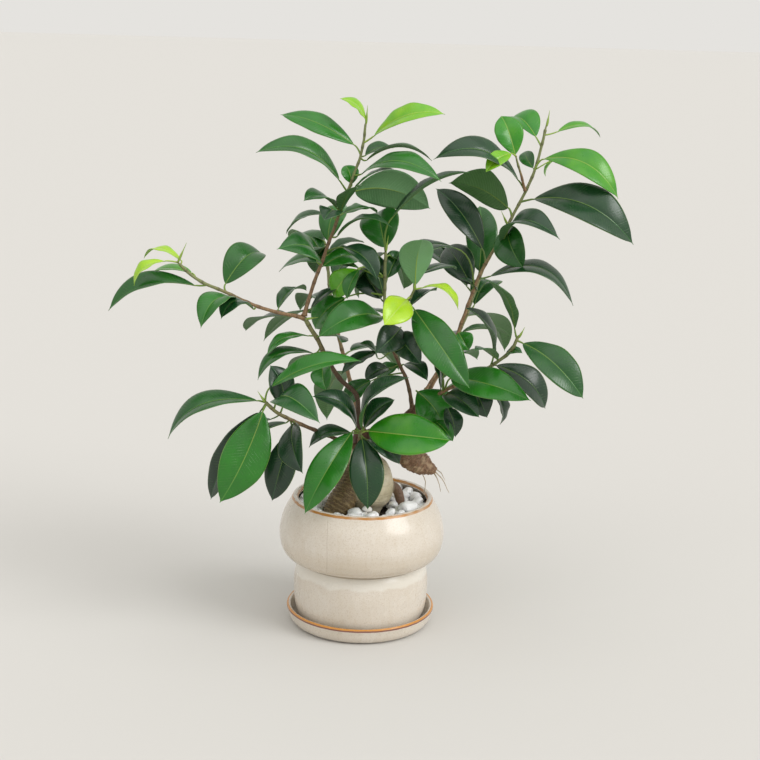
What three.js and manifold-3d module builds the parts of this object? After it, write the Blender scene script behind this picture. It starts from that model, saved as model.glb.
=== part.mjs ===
// Ginseng ficus (Ficus microcarpa) with a swollen caudex, in a glazed ceramic pot on its saucer.
// Millimetres, +Z up. The origin is the middle of the saucer's flat foot; the plant's front faces -Y.
import * as THREE from "three";
import { mergeVertices } from "three/addons/utils/BufferGeometryUtils.js";
import Module from "manifold-3d";

const wasm = await Module();
wasm.setup();

// ---------- driving dimensions ----------

const GAP = 0.35; // air left between two pieces that touch
const ROUND = 40; // segments round the pot and the saucer

// Saucer: flat foot, wall flaring out to a thin rim.
const SAUCER_RADIUS = 68;
const SAUCER_HEIGHT = 16;
const SAUCER_FOOT_RADIUS = 58;
const SAUCER_FLOOR = 4.2;
const SAUCER_WALL = 3.2;

// Pot: a drum below a waist groove, and a wide bowl above it, as [radius, height] of the outside.
const POT_BOTTOM = SAUCER_FLOOR + GAP;
const POT_HEIGHT = 120.4;
const POT_RIM_RADIUS = 64.2;
const POT_WALL = 5.5;
const POT_FLOOR_TOP = 15;
const POT_DRAIN_RADIUS = 7;
const POT_CORNER = 6; // bevel between the inside wall and the floor
const POT_OUTSIDE = [
  [52, POT_BOTTOM], [57, 7], [60, 15], [61.6, 30], [61.6, 42], [60, 53], [57.8, 58.5], [57, 60.5],
  [60, 62.2], [67, 65], [71, 69], [73.6, 74.5], [75, 81.5], [75.2, 89], [71.8, 104], [66, 115],
];
const DRAIN_NET_RADIUS = 12;
const DRAIN_NET_THICKNESS = 0.7;

// What fills the pot.
const SOIL_TOP = 102;
const BED_TOP = 108.5;
const BED_LUMP = 0.9;
const LARGE_PEBBLES = [
  // name, centre x, y, height, half sizes along x, y and z, turn in degrees
  ["pebble_egg", 42, -19, 114.8, 9.2, 7, 6.2, 20],
  ["pebble_front", -7, -44, 112.6, 8.4, 6.4, 5, -15],
  ["pebble_left", -48, 2, 112.2, 7.6, 6, 4.8, 70],
  ["pebble_back", 20, 44, 112.8, 8.2, 6.2, 5.2, 10],
];

// Crown points are given on a front elevation drawn from an eye in front of the plant, as
// across and height, followed by the point's own depth behind (+) or before (-) the pot's middle.
const EYE_DISTANCE = 1310;
const EYE_HEIGHT = 548;

// Caudex: one grown piece, as limbs of [across, height, depth, radius].
const CAUDEX_LIMBS = [
  // bulb and crown
  [[5, 88, 0, 8], [5, 104, -1, 11], [5, 112, -2, 14.5], [6, 120, -2, 20], [6, 130, -2, 21.8],
    [5, 140, -2, 21], [1, 151, -1, 16.3], [-1, 160, 0, 11.5], [-2, 169, 0, 8.5], [-3, 178, 0, 6.5],
    [-4, 184, 0, 4.5]],
  // left leg
  [[-30, 88, -26, 7], [-25, 102, -24, 11.5], [-20, 112, -20, 12], [-15, 124, -14, 11], [-11, 136, -9, 10],
    [-7, 150, -5, 8]],
  // arm and hanging tuber
  [[-2, 170, 2, 8.5], [12, 176, 4, 9], [27, 176, 5, 10.5], [37, 167, 3, 12.5], [45, 157, 1, 12.5],
    [54, 150.5, -1, 10], [61, 147, -2, 6], [66.5, 145, -2, 2.8]],
  // riser of the right-hand stems
  [[30, 178, 5, 9], [37, 190, 5, 7], [43, 200, 5, 4.4], [46, 206, 5, 2.8]],
  // short root at the bulb's right
  [[12, 134, 2, 4], [24, 131, 2, 4], [31, 127, 1, 4.6], [34, 119, 0, 4], [36, 104, 0, 3.5]],
];

// Stems: first and last radius, the piece each one grows from, and its route.
const STEMS = {
  stem_left: {
    grows_from: "caudex", radii: [2.4, 2.1],
    route: [[-4, 172, -2], [-6, 196, -5], [-8, 214, -8], [-23, 229, -10], [-33, 243, -11], [-43, 264, -12],
      [-50, 274, -12], [-57, 286, -12]],
  },
  branch_left: {
    grows_from: "stem_left", radii: [1.7, 1.4],
    route: [[-56, 284, -12], [-77, 288, -16], [-99, 294, -20], [-125, 305, -24], [-152, 317, -28],
      [-168, 331, -30]],
  },
  stem_top: {
    grows_from: "stem_left", radii: [1.8, 1.1],
    route: [[-56, 286, -12], [-51, 305, -9], [-42, 332, -4], [-31, 364, 2], [-20, 397, 8], [-9, 429, 12],
      [-5, 458, 14]],
  },
  stem_lower_left: {
    grows_from: "caudex", radii: [2.0, 1.6],
    route: [[-8, 166, -6], [-38, 178, -28], [-65, 189, -46], [-80, 197, -54], [-91, 207, -60]],
  },
  stem_centre: {
    grows_from: "caudex", radii: [1.8, 1.4],
    route: [[43, 203, 5], [37, 230, 3], [30, 244, 2], [22, 262, 0], [16, 290, -2], [15, 318, -3],
      [15, 347, -3]],
  },
  twig_centre: {
    grows_from: "stem_centre", radii: [1.3, 1.1],
    route: [[19, 274, -1], [33, 295, -16], [42, 314, -26]],
  },
  stem_right: {
    grows_from: "caudex", radii: [1.8, 1.3],
    route: [[45, 199, 6], [60, 225, 12], [75, 255, 18], [87, 292, 24], [98, 325, 29], [121, 371, 36],
      [142, 418, 42], [151, 460, 45]],
  },
  stem_lower_right: {
    grows_from: "caudex", radii: [1.8, 1.5],
    route: [[42, 192, 2], [56, 208, -8], [69, 219, -16], [87, 229, -26], [116, 247, -40], [130, 260, -46],
      [136, 273, -50]],
  },
  twig_front: {
    grows_from: "caudex", radii: [1.8, 1.5],
    route: [[-4, 170, -4], [-4, 176, -22], [-3, 180, -31]],
  },
  stem_back_left: {
    grows_from: "caudex", radii: [2.2, 1.5],
    route: [[-2, 172, 4], [-8, 205, 26], [-20, 250, 50], [-32, 300, 68], [-38, 350, 80]],
  },
  stem_back_right: {
    grows_from: "caudex", radii: [2.2, 1.5],
    route: [[38, 188, 8], [52, 216, 30], [74, 254, 52], [90, 296, 68], [102, 336, 80]],
  },
};

// Leaves: name, stem, where the stalk leaves it, where the blade starts, the tip with its depth,
// blade width, rise of the arch, and the roll that turns the upper face towards the front.
const LEAVES = [
  ["leaf_left_tip", "branch_left", [-141, 311], [-153, 311], [-230, 286, -38], 30, 13, 12],
  ["leaf_left_upright", "branch_left", [-125, 305], [-126, 313], [-94, 341, 16], 32, 12, 25],
  ["leaf_left_hanging", "branch_left", [-112, 299], [-117, 299], [-148, 272, -66], 27, 14, 5],
  ["leaf_left_inner", "branch_left", [-66, 285], [-70, 285], [-108, 271, 30], 25, 6, 10],
  ["leaf_summit_right", "stem_top", [-6, 439], [2, 446], [63, 466, -4], 24, 12, 35],
  ["leaf_summit_left", "stem_top", [-9, 429], [-15, 438], [-79, 462, 24], 26, 10, 38],
  ["leaf_high_left", "stem_top", [-20, 397], [-27, 407], [-100, 429, -18], 27, 18, 36],
  ["leaf_high_striped", "stem_top", [-14, 411], [-8, 413], [62, 408, -32], 28, 18, 28],
  ["leaf_high_under", "stem_top", [-18, 396], [-13, 398], [53, 384, 34], 40, 13, -62],
  ["leaf_upper_left", "stem_top", [-42, 332], [-45, 335], [-81, 345, -48], 34, 14, 42],
  ["leaf_blue", "stem_centre", [15, 322], [-8, 330], [-79, 325, 36], 26, 14, 24],
  ["leaf_heart", "stem_centre", [15, 345], [14, 349], [7, 380, 42], 36, 8, 20],
  ["leaf_middle_high", "stem_centre", [15, 345], [20, 376], [86, 417, -18], 25, 8, 10],
  ["leaf_middle_light", "stem_centre", [17, 284], [13, 287], [-43, 267, -40], 32, 18, 40],
  ["leaf_lime", "twig_centre", [38, 306], [35, 303], [15, 279, -64], 27, 6, 35],
  ["leaf_pale", "twig_centre", [42, 312], [42, 316], [47, 357, -54], 30, 5, 0],
  ["leaf_front_slate", "twig_centre", [36, 300], [42, 294], [94, 223, -74], 32, 14, 45],
  ["leaf_right_slate", "stem_right", [135, 402], [129, 411], [54, 427, 16], 32, 20, 30],
  ["leaf_right_dark", "stem_right", [102, 335], [100, 350], [57, 402, 74], 28, 8, 35],
  ["leaf_right_long", "stem_right", [93, 312], [77, 350], [23, 331, -6], 27, 12, 10],
  ["leaf_right_top", "stem_right", [147, 441], [142, 449], [119, 463, 94], 30, 8, 10],
  ["leaf_right_bright", "stem_right", [142, 418], [150, 430], [217, 397, 8], 32, 20, 38],
  ["leaf_right_largest", "stem_right", [132, 391], [143, 395], [233, 357, 2], 41, 26, 44],
  ["leaf_right_low", "stem_right", [110, 350], [117, 354], [168, 360, -20], 30, 22, 22],
  ["leaf_right_wide", "stem_right", [98, 323], [108, 326], [183, 301, 4], 30, 24, 18],
  ["leaf_low_right_up", "stem_lower_right", [134, 270], [132, 279], [99, 324, -74], 28, 10, 10],
  ["leaf_low_right_tip", "stem_lower_right", [135, 268], [140, 266], [197, 216, -84], 32, 14, 35],
  ["leaf_low_right_light", "stem_lower_right", [72, 220], [77, 232], [150, 213, -72], 32, 14, 45],
  ["leaf_front_bright", "twig_front", [-3, 179], [4, 181], [79, 174, -46], 38, 8, 62],
  ["leaf_front_hanging", "twig_front", [-3, 178], [-2, 174], [5, 106, -52], 31, 8, 10],
  ["leaf_front_left", "twig_front", [-3, 179], [-11, 180], [-53, 100, -64], 30, 16, 40],
  ["leaf_low_left_tip", "stem_lower_left", [-89, 205], [-97, 207], [-178, 169, -76], 30, 20, 15],
  ["leaf_low_left_big", "stem_lower_left", [-89, 204], [-92, 197], [-131, 109, -80], 41, 8, 70],
  ["leaf_low_left_glossy", "stem_lower_left", [-90, 206], [-85, 220], [-4, 246, -70], 25, 12, 10],
  ["leaf_low_left_dome", "stem_lower_left", [-82, 199], [-80, 206], [-40, 187, -104], 30, 18, 30],
  ["leaf_back_low", "stem_back_left", [-14, 230], [-16, 236], [-34, 190, 128], 31, 14, 0],
  ["leaf_back_left", "stem_back_left", [-27, 280], [-32, 285], [-92, 262, 118], 31, 16, 0],
  ["leaf_back_right", "stem_back_right", [86, 286], [90, 290], [124, 258, 140], 32, 14, 0],
  ["leaf_back_high", "stem_back_right", [99, 326], [97, 332], [64, 340, 152], 31, 14, 0],
];

const YOUNG_LEAVES = ["leaf_summit_right", "leaf_lime", "leaf_pale"];

const STALK_HALF = 0.9;
const BLADE_HALF = 0.6; // half of the thickness at the midrib
const BLADE_FOLD = 0.22; // rise of each margin above the midrib, per half width
const BLADE_STATIONS = [0.1, 0.26, 0.42, 0.58, 0.74, 0.88];
const BLADE_TIP = 0.5; // half width left at the tip
const STEM_SIDES = 6;

const COLOURS = {
  glaze: [0xcdc3af, 0.35],
  soil: [0x2a211a, 0.95],
  marble: [0xe4e0d8, 0.5],
  root: [0xa08a66, 0.75],
  bark: [0x6b4a33, 0.8],
  leaf: [0x35582a, 0.35],
  young_leaf: [0x8db63c, 0.4],
  net: [0x222222, 0.7],
};

// ---------- geometry helpers ----------

// A point of the elevation carried along its line of sight to its own depth.
function crownPoint([across, height, depth]) {
  const spread = 1 + depth / EYE_DISTANCE;
  return new THREE.Vector3(across * spread, depth, EYE_HEIGHT + (height - EYE_HEIGHT) * spread);
}

function toSolid(geometry) {
  geometry.deleteAttribute("normal");
  geometry.deleteAttribute("uv");
  const merged = mergeVertices(geometry, 1e-4);
  const vertProperties = Float32Array.from(merged.attributes.position.array);
  const triVerts = Uint32Array.from(merged.index.array);
  return new wasm.Manifold(new wasm.Mesh({ numProp: 3, vertProperties, triVerts }));
}

function toGeometry(solid) {
  const mesh = solid.getMesh();
  const geometry = new THREE.BufferGeometry();
  geometry.setAttribute("position", new THREE.BufferAttribute(mesh.vertProperties, 3));
  geometry.setIndex(new THREE.BufferAttribute(mesh.triVerts, 1));
  return geometry;
}

// The largest separate body of a solid, so that a cut leaves no crumbs.
function largestBody(solid) {
  const bodies = solid.decompose();
  return bodies.reduce((best, body) => (body.volume() > best.volume() ? body : best));
}

// A closed skin through rings of equally many points, each end closed by a fan to its middle.
function loft(rings) {
  const sides = rings[0].length;
  const points = rings.flat();
  const faces = [];
  for (let i = 0; i + 1 < rings.length; i++) {
    for (let j = 0; j < sides; j++) {
      const a = i * sides + j;
      const b = i * sides + ((j + 1) % sides);
      faces.push(a, b, b + sides, a, b + sides, a + sides);
    }
  }
  const last = (rings.length - 1) * sides;
  for (const [ring, start, turned] of [[rings[0], 0, true], [rings.at(-1), last, false]]) {
    const middle = ring.reduce((sum, p) => sum.add(p), new THREE.Vector3()).divideScalar(sides);
    points.push(middle);
    for (let j = 0; j < sides; j++) {
      const edge = [start + j, start + ((j + 1) % sides)];
      faces.push(...(turned ? edge.reverse() : edge), points.length - 1);
    }
  }
  const geometry = new THREE.BufferGeometry().setFromPoints(points);
  geometry.setIndex(faces);
  return geometry;
}

// A tapered limb along a smooth line through the points, with a radius for each of them.
function limb(points, radii, sides, steps) {
  const line = new THREE.CatmullRomCurve3(points, false, "centripetal");
  const frames = line.computeFrenetFrames(steps);
  const rings = [];
  for (let i = 0; i <= steps; i++) {
    const along = (i / steps) * (radii.length - 1);
    const before = Math.min(Math.floor(along), radii.length - 2);
    const radius = THREE.MathUtils.lerp(radii[before], radii[before + 1], along - before);
    const centre = line.getPoint(i / steps);
    const ring = [];
    for (let j = 0; j < sides; j++) {
      const angle = (2 * Math.PI * j) / sides;
      ring.push(centre.clone()
        .addScaledVector(frames.normals[i], radius * Math.cos(angle))
        .addScaledVector(frames.binormals[i], radius * Math.sin(angle)));
    }
    rings.push(ring);
  }
  return toSolid(loft(rings));
}

// A turned solid: the outline, as [radius, height], runs up the outside and back inside.
function turned(outline) {
  const profile = outline.map(([radius, height]) => new THREE.Vector2(radius, height));
  return new THREE.LatheGeometry(profile, ROUND).rotateX(Math.PI / 2);
}

// Radius of an outline at a height, between its points.
function radiusAt(outline, height) {
  const above = Math.max(1, outline.findIndex((point) => point[1] >= height));
  const [r0, z0] = outline[above - 1];
  const [r1, z1] = outline[above];
  return THREE.MathUtils.lerp(r0, r1, (height - z0) / (z1 - z0));
}

// ---------- pot and saucer ----------

function saucer() {
  const inner = SAUCER_RADIUS - SAUCER_WALL;
  return toSolid(turned([
    [0, 0], [SAUCER_FOOT_RADIUS, 0], [62.5, 1.6], [65.4, 5.2], [67, 10.4], [SAUCER_RADIUS, 14.6],
    [SAUCER_RADIUS - 0.7, SAUCER_HEIGHT], [inner, SAUCER_HEIGHT - 0.6], [inner - 1.2, 12.6], [61.8, 8.4],
    [58.5, 5.4], [52, SAUCER_FLOOR], [0, SAUCER_FLOOR],
  ]));
}

// The inside follows the outside at one wall thickness, from the floor up to the rounded lip.
const POT_INSIDE = POT_OUTSIDE
  .filter(([, height]) => height > POT_FLOOR_TOP)
  .map(([radius, height]) => [radius - POT_WALL, height]);

function pot() {
  const lip = [
    [POT_RIM_RADIUS, POT_HEIGHT - 1.9], [POT_RIM_RADIUS - 0.9, POT_HEIGHT - 0.5],
    [POT_RIM_RADIUS - 3, POT_HEIGHT], [POT_RIM_RADIUS - 5, POT_HEIGHT - 0.9],
    [POT_RIM_RADIUS - 5.8, POT_HEIGHT - 3],
  ];
  const drain = [[POT_DRAIN_RADIUS, POT_FLOOR_TOP], [POT_DRAIN_RADIUS, POT_BOTTOM]];
  const wallFoot = POT_INSIDE[0][0];
  const floorEdge = [[wallFoot, POT_FLOOR_TOP + POT_CORNER], [wallFoot - POT_CORNER, POT_FLOOR_TOP]];
  const inside = [...POT_INSIDE].reverse();
  return toSolid(turned([...POT_OUTSIDE, ...lip, ...inside, ...floorEdge, ...drain, POT_OUTSIDE[0]]));
}

function drainNet() {
  const low = POT_FLOOR_TOP + GAP;
  const disc = new THREE.CylinderGeometry(DRAIN_NET_RADIUS, DRAIN_NET_RADIUS, DRAIN_NET_THICKNESS, 24);
  return toSolid(disc.rotateX(Math.PI / 2).translate(0, 0, low + DRAIN_NET_THICKNESS / 2));
}

// ---------- what fills the pot ----------

function soil(roots) {
  const low = POT_FLOOR_TOP + 2 * GAP + DRAIN_NET_THICKNESS;
  const edge = POT_INSIDE[0][0] - POT_CORNER - GAP;
  const wall = POT_INSIDE
    .filter(([, height]) => height < SOIL_TOP)
    .map(([radius, height]) => [radius - 2 * GAP, height]);
  const top = radiusAt(POT_INSIDE, SOIL_TOP) - 2 * GAP;
  return toSolid(turned([[0, low], [edge, low], ...wall, [top, SOIL_TOP], [0, SOIL_TOP]])).subtract(roots);
}

function pebbleBed(roots, pebbles) {
  const low = SOIL_TOP + GAP;
  const foot = radiusAt(POT_INSIDE, low) - 2 * GAP;
  const rim = radiusAt(POT_INSIDE, BED_TOP) - 2.5 * GAP;
  const rings = [0.86, 0.72, 0.58, 0.44, 0.28].map((share) => [rim * share, BED_TOP]);
  const geometry = turned([[0, low], [foot, low], [rim, BED_TOP], ...rings, [0, BED_TOP]]);
  const position = geometry.attributes.position;
  for (let i = 0; i < position.count; i++) {
    const [x, y, z] = [position.getX(i), position.getY(i), position.getZ(i)];
    const lump = BED_LUMP * Math.sin(x * 0.45) * Math.cos(y * 0.52);
    if (z > low + 1 && Math.hypot(x, y) < rim - 1) position.setZ(i, z + lump);
  }
  return pebbles.reduce((bed, pebble) => bed.subtract(pebble), toSolid(geometry).subtract(roots));
}

// An egg-shaped stone, larger by the margin where it is used to cut its own seat.
function stone([, x, y, z, a, b, c, turn], margin) {
  const shape = new THREE.IcosahedronGeometry(1, 2);
  const position = shape.attributes.position;
  for (let i = 0; i < position.count; i++) {
    const taper = 1 - 0.14 * position.getX(i);
    position.setY(i, position.getY(i) * taper);
    position.setZ(i, position.getZ(i) * taper);
  }
  shape.scale(a + margin, b + margin, c + margin).rotateZ(THREE.MathUtils.degToRad(turn));
  return toSolid(shape.translate(x, y, z));
}

// ---------- plant ----------

function caudex(margin) {
  const limbs = CAUDEX_LIMBS.map((line) => {
    const points = line.map(crownPoint);
    const radii = line.map((point) => point[3] + margin);
    const sides = radii[2] > 6 ? 16 : 10;
    return limb(points, radii, sides, (points.length - 1) * 3);
  });
  return limbs.reduce((whole, piece) => whole.add(piece));
}

function stem({ radii, route }, margin) {
  const steps = (route.length - 1) * 2;
  const spread = route.map((_, i) => THREE.MathUtils.lerp(...radii, i / (route.length - 1)) + margin);
  return limb(route.map(crownPoint), spread, STEM_SIDES, steps);
}

// The stem's point whose elevation is nearest to the given one.
function pointOnStem({ route }, [across, height]) {
  let best = null;
  for (let i = 0; i + 1 < route.length; i++) {
    const [a, b] = [route[i], route[i + 1]];
    const run = [b[0] - a[0], b[1] - a[1]];
    const along = ((across - a[0]) * run[0] + (height - a[1]) * run[1]) / (run[0] ** 2 + run[1] ** 2);
    const t = THREE.MathUtils.clamp(along, 0, 1);
    const point = a.map((value, k) => THREE.MathUtils.lerp(value, b[k], t));
    const miss = Math.hypot(across - point[0], height - point[1]);
    if (best === null || miss < best.miss) best = { point, miss };
  }
  return best.point;
}

// Half width of a blade along its length: elliptic, widest past the middle, with a drawn-out tip.
function bladeShape(t) {
  return Math.sin(Math.PI * t ** 0.92) ** 0.8 * (1 - 0.25 * t ** 6);
}

// Upper-face direction of a blade: up, then rolled about its length towards the front.
function bladeNormal(along, roll) {
  const up = new THREE.Vector3(0, 0, 1).projectOnPlane(along).normalize();
  const side = new THREE.Vector3().crossVectors(along, up);
  const towardsFront = Math.abs(side.y) > 0.15 ? -Math.sign(side.y) : Math.sign(side.x);
  const angle = THREE.MathUtils.degToRad(roll);
  return up.multiplyScalar(Math.cos(angle)).addScaledVector(side, towardsFront * Math.sin(angle));
}

// A leaf: a thin stalk and an arched, folded blade, as one closed body with four-cornered sections.
function leaf([, stemName, stalk, base, tip, width, rise, roll]) {
  const root = pointOnStem(STEMS[stemName], stalk);
  const stalkLength = Math.hypot(base[0] - root[0], base[1] - root[1]);
  const bladeLength = Math.hypot(tip[0] - base[0], tip[1] - base[1]);
  const share = stalkLength / (stalkLength + bladeLength);
  const start = crownPoint(root);
  const foot = crownPoint([...base, THREE.MathUtils.lerp(root[2], tip[2], share)]);
  const end = crownPoint(tip);
  const along = end.clone().sub(foot).normalize();
  const normal = bladeNormal(along, roll);
  const side = new THREE.Vector3().crossVectors(normal, along);
  const section = (centre, half, lift, thick) => [
    centre.clone().addScaledVector(side, half).addScaledVector(normal, lift),
    centre.clone().addScaledVector(normal, thick),
    centre.clone().addScaledVector(side, -half).addScaledVector(normal, lift),
    centre.clone().addScaledVector(normal, -thick),
  ];
  const rings = [start, foot].map((point) => section(point, STALK_HALF, 0, STALK_HALF));
  for (const t of BLADE_STATIONS) {
    const half = (width / 2) * bladeShape(t);
    const centre = foot.clone().lerp(end, t).addScaledVector(normal, rise * 4 * t * (1 - t));
    rings.push(section(centre, half, half * BLADE_FOLD, BLADE_HALF));
  }
  rings.push(section(end, BLADE_TIP, 0, BLADE_TIP / 2));
  return toSolid(loft(rings)).subtract(stem(STEMS[stemName], GAP));
}

// ---------- assembly ----------

const plant = new THREE.Group();

function addPiece(name, solid, colour) {
  const [color, roughness] = COLOURS[colour];
  const material = new THREE.MeshStandardMaterial({ color, roughness, metalness: 0 });
  const mesh = new THREE.Mesh(toGeometry(solid), material);
  mesh.name = name;
  plant.add(mesh);
}

const caudexMould = caudex(GAP);
const roomFor = (name) => (name === "caudex" ? caudexMould : stem(STEMS[name], GAP));

addPiece("saucer", saucer(), "glaze");
addPiece("pot", pot(), "glaze");
addPiece("drain_net", drainNet(), "net");
addPiece("soil", soil(caudexMould), "soil");
addPiece("pebble_bed", pebbleBed(caudexMould, LARGE_PEBBLES.map((pebble) => stone(pebble, GAP))), "marble");
for (const pebble of LARGE_PEBBLES) addPiece(pebble[0], stone(pebble, 0), "marble");
addPiece("caudex", caudex(0), "root");
for (const [name, row] of Object.entries(STEMS)) {
  addPiece(name, largestBody(stem(row, 0).subtract(roomFor(row.grows_from))), "bark");
}
for (const row of LEAVES) {
  addPiece(row[0], largestBody(leaf(row)), YOUNG_LEAVES.includes(row[0]) ? "young_leaf" : "leaf");
}

export default plant;
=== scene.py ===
"""Ginseng ficus in a glazed ceramic pot: the detailed visual model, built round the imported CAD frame.

Sizes are in millimetres, as in the CAD source, and turn into metres where a mesh is made.
"""
import math
import random

import bmesh
import bpy
import numpy as np
from mathutils import Matrix, Vector, noise


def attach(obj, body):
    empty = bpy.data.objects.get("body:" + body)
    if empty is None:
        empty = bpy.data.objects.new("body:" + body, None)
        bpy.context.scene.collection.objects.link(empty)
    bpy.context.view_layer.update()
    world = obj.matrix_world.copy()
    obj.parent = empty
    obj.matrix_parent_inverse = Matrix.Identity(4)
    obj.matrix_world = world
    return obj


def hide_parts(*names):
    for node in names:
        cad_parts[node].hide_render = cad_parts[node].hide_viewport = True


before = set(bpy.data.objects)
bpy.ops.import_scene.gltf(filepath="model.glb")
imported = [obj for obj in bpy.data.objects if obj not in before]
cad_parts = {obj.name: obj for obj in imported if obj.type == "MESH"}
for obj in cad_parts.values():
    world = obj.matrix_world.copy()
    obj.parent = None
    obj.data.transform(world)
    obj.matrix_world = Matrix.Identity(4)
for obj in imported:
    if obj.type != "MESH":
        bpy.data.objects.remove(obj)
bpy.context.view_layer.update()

MM = 0.001

# ---------- the plant's layout, as in the CAD source ----------

# A crown point is (across, height) on a front elevation drawn from an eye in front of the plant,
# followed by its depth behind (+) or before (-) the pot's middle.
EYE_DISTANCE = 1310
EYE_HEIGHT = 548

# Limbs of the caudex as (across, height, depth, radius).
BULB = [(5, 88, 0, 8), (5, 104, -1, 11), (5, 112, -2, 14.5), (6, 120, -2, 20), (6, 130, -2, 21.8),
        (5, 140, -2, 21), (1, 151, -1, 16.3), (-1, 160, 0, 11.5), (-2, 169, 0, 8.5), (-3, 178, 0, 6.5),
        (-4, 184, 0, 4.5)]
LEG = [(-30, 88, -26, 7), (-25, 102, -24, 11.5), (-20, 112, -20, 12), (-15, 124, -14, 11), (-11, 136, -9, 10),
       (-7, 150, -5, 8)]
TUBER = [(-2, 170, 2, 8.5), (12, 176, 4, 9), (27, 176, 5, 10.5), (37, 167, 3, 12.5), (45, 157, 1, 12.5),
         (54, 150.5, -1, 10), (61, 147, -2, 6), (66.5, 145, -2, 2.8)]
RISER = [(30, 178, 5, 9), (37, 190, 5, 7), (43, 200, 5, 4.4), (46, 206, 5, 2.8)]
SHORT_ROOT = [(12, 134, 2, 4), (24, 131, 2, 4), (31, 127, 1, 4.6), (34, 119, 0, 4), (36, 104, 0, 3.5)]
# Routes of the hair roots, as crown points.
HAIR_ROOTS = [
    [(62, 148, -3), (66, 141, -4), (69.5, 133, -5)],
    [(61, 147, -1), (68, 137, 0), (71.5, 125, 2)],
    [(64, 148, -3), (71, 143, -5), (75, 136, -6)],
    [(63, 147, -2), (73, 136, -1), (79, 124, 1)],
    [(52, 147, 4), (57, 134, 8), (56, 121, 11)],
]

# Stems: first and last radius, and the route.
STEMS = {
    "stem_left": ((2.4, 2.1), [(-4, 172, -2), (-6, 196, -5), (-8, 214, -8), (-23, 229, -10), (-33, 243, -11),
                               (-43, 264, -12), (-50, 274, -12), (-57, 286, -12)]),
    "branch_left": ((1.7, 1.4), [(-56, 284, -12), (-77, 288, -16), (-99, 294, -20), (-125, 305, -24),
                                 (-152, 317, -28), (-168, 331, -30)]),
    "stem_top": ((1.8, 1.1), [(-56, 286, -12), (-51, 305, -9), (-42, 332, -4), (-31, 364, 2), (-20, 397, 8),
                              (-9, 429, 12), (-5, 458, 14)]),
    "stem_lower_left": ((2.0, 1.6), [(-8, 166, -6), (-38, 178, -28), (-65, 189, -46), (-80, 197, -54),
                                     (-91, 207, -60)]),
    "stem_centre": ((1.8, 1.4), [(43, 203, 5), (37, 230, 3), (30, 244, 2), (22, 262, 0), (16, 290, -2),
                                 (15, 318, -3), (15, 347, -3)]),
    "twig_centre": ((1.3, 1.1), [(19, 274, -1), (33, 295, -16), (42, 314, -26)]),
    "stem_right": ((1.8, 1.3), [(45, 199, 6), (60, 225, 12), (75, 255, 18), (87, 292, 24), (98, 325, 29),
                                (121, 371, 36), (142, 418, 42), (151, 460, 45)]),
    "stem_lower_right": ((1.8, 1.5), [(42, 192, 2), (56, 208, -8), (69, 219, -16), (87, 229, -26),
                                      (116, 247, -40), (130, 260, -46), (136, 273, -50)]),
    "twig_front": ((1.8, 1.5), [(-4, 170, -4), (-4, 176, -22), (-3, 180, -31)]),
    "stem_back_left": ((2.2, 1.5), [(-2, 172, 4), (-8, 205, 26), (-20, 250, 50), (-32, 300, 68),
                                    (-38, 350, 80)]),
    "stem_back_right": ((2.2, 1.5), [(38, 188, 8), (52, 216, 30), (74, 254, 52), (90, 296, 68),
                                     (102, 336, 80)]),
}
# How dark the old wood at a stem's lower end is.
DARK_STEMS = {"stem_left": 0.85, "stem_top": 0.25, "stem_lower_left": 0.5, "stem_centre": 0.45}
# A thin shoot that has no node of its own in CAD.
TWIG_RIGHT_TOP = ((1.2, 0.9), [(135, 402, 39), (130, 418, 36), (126, 431, 34)])

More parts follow.
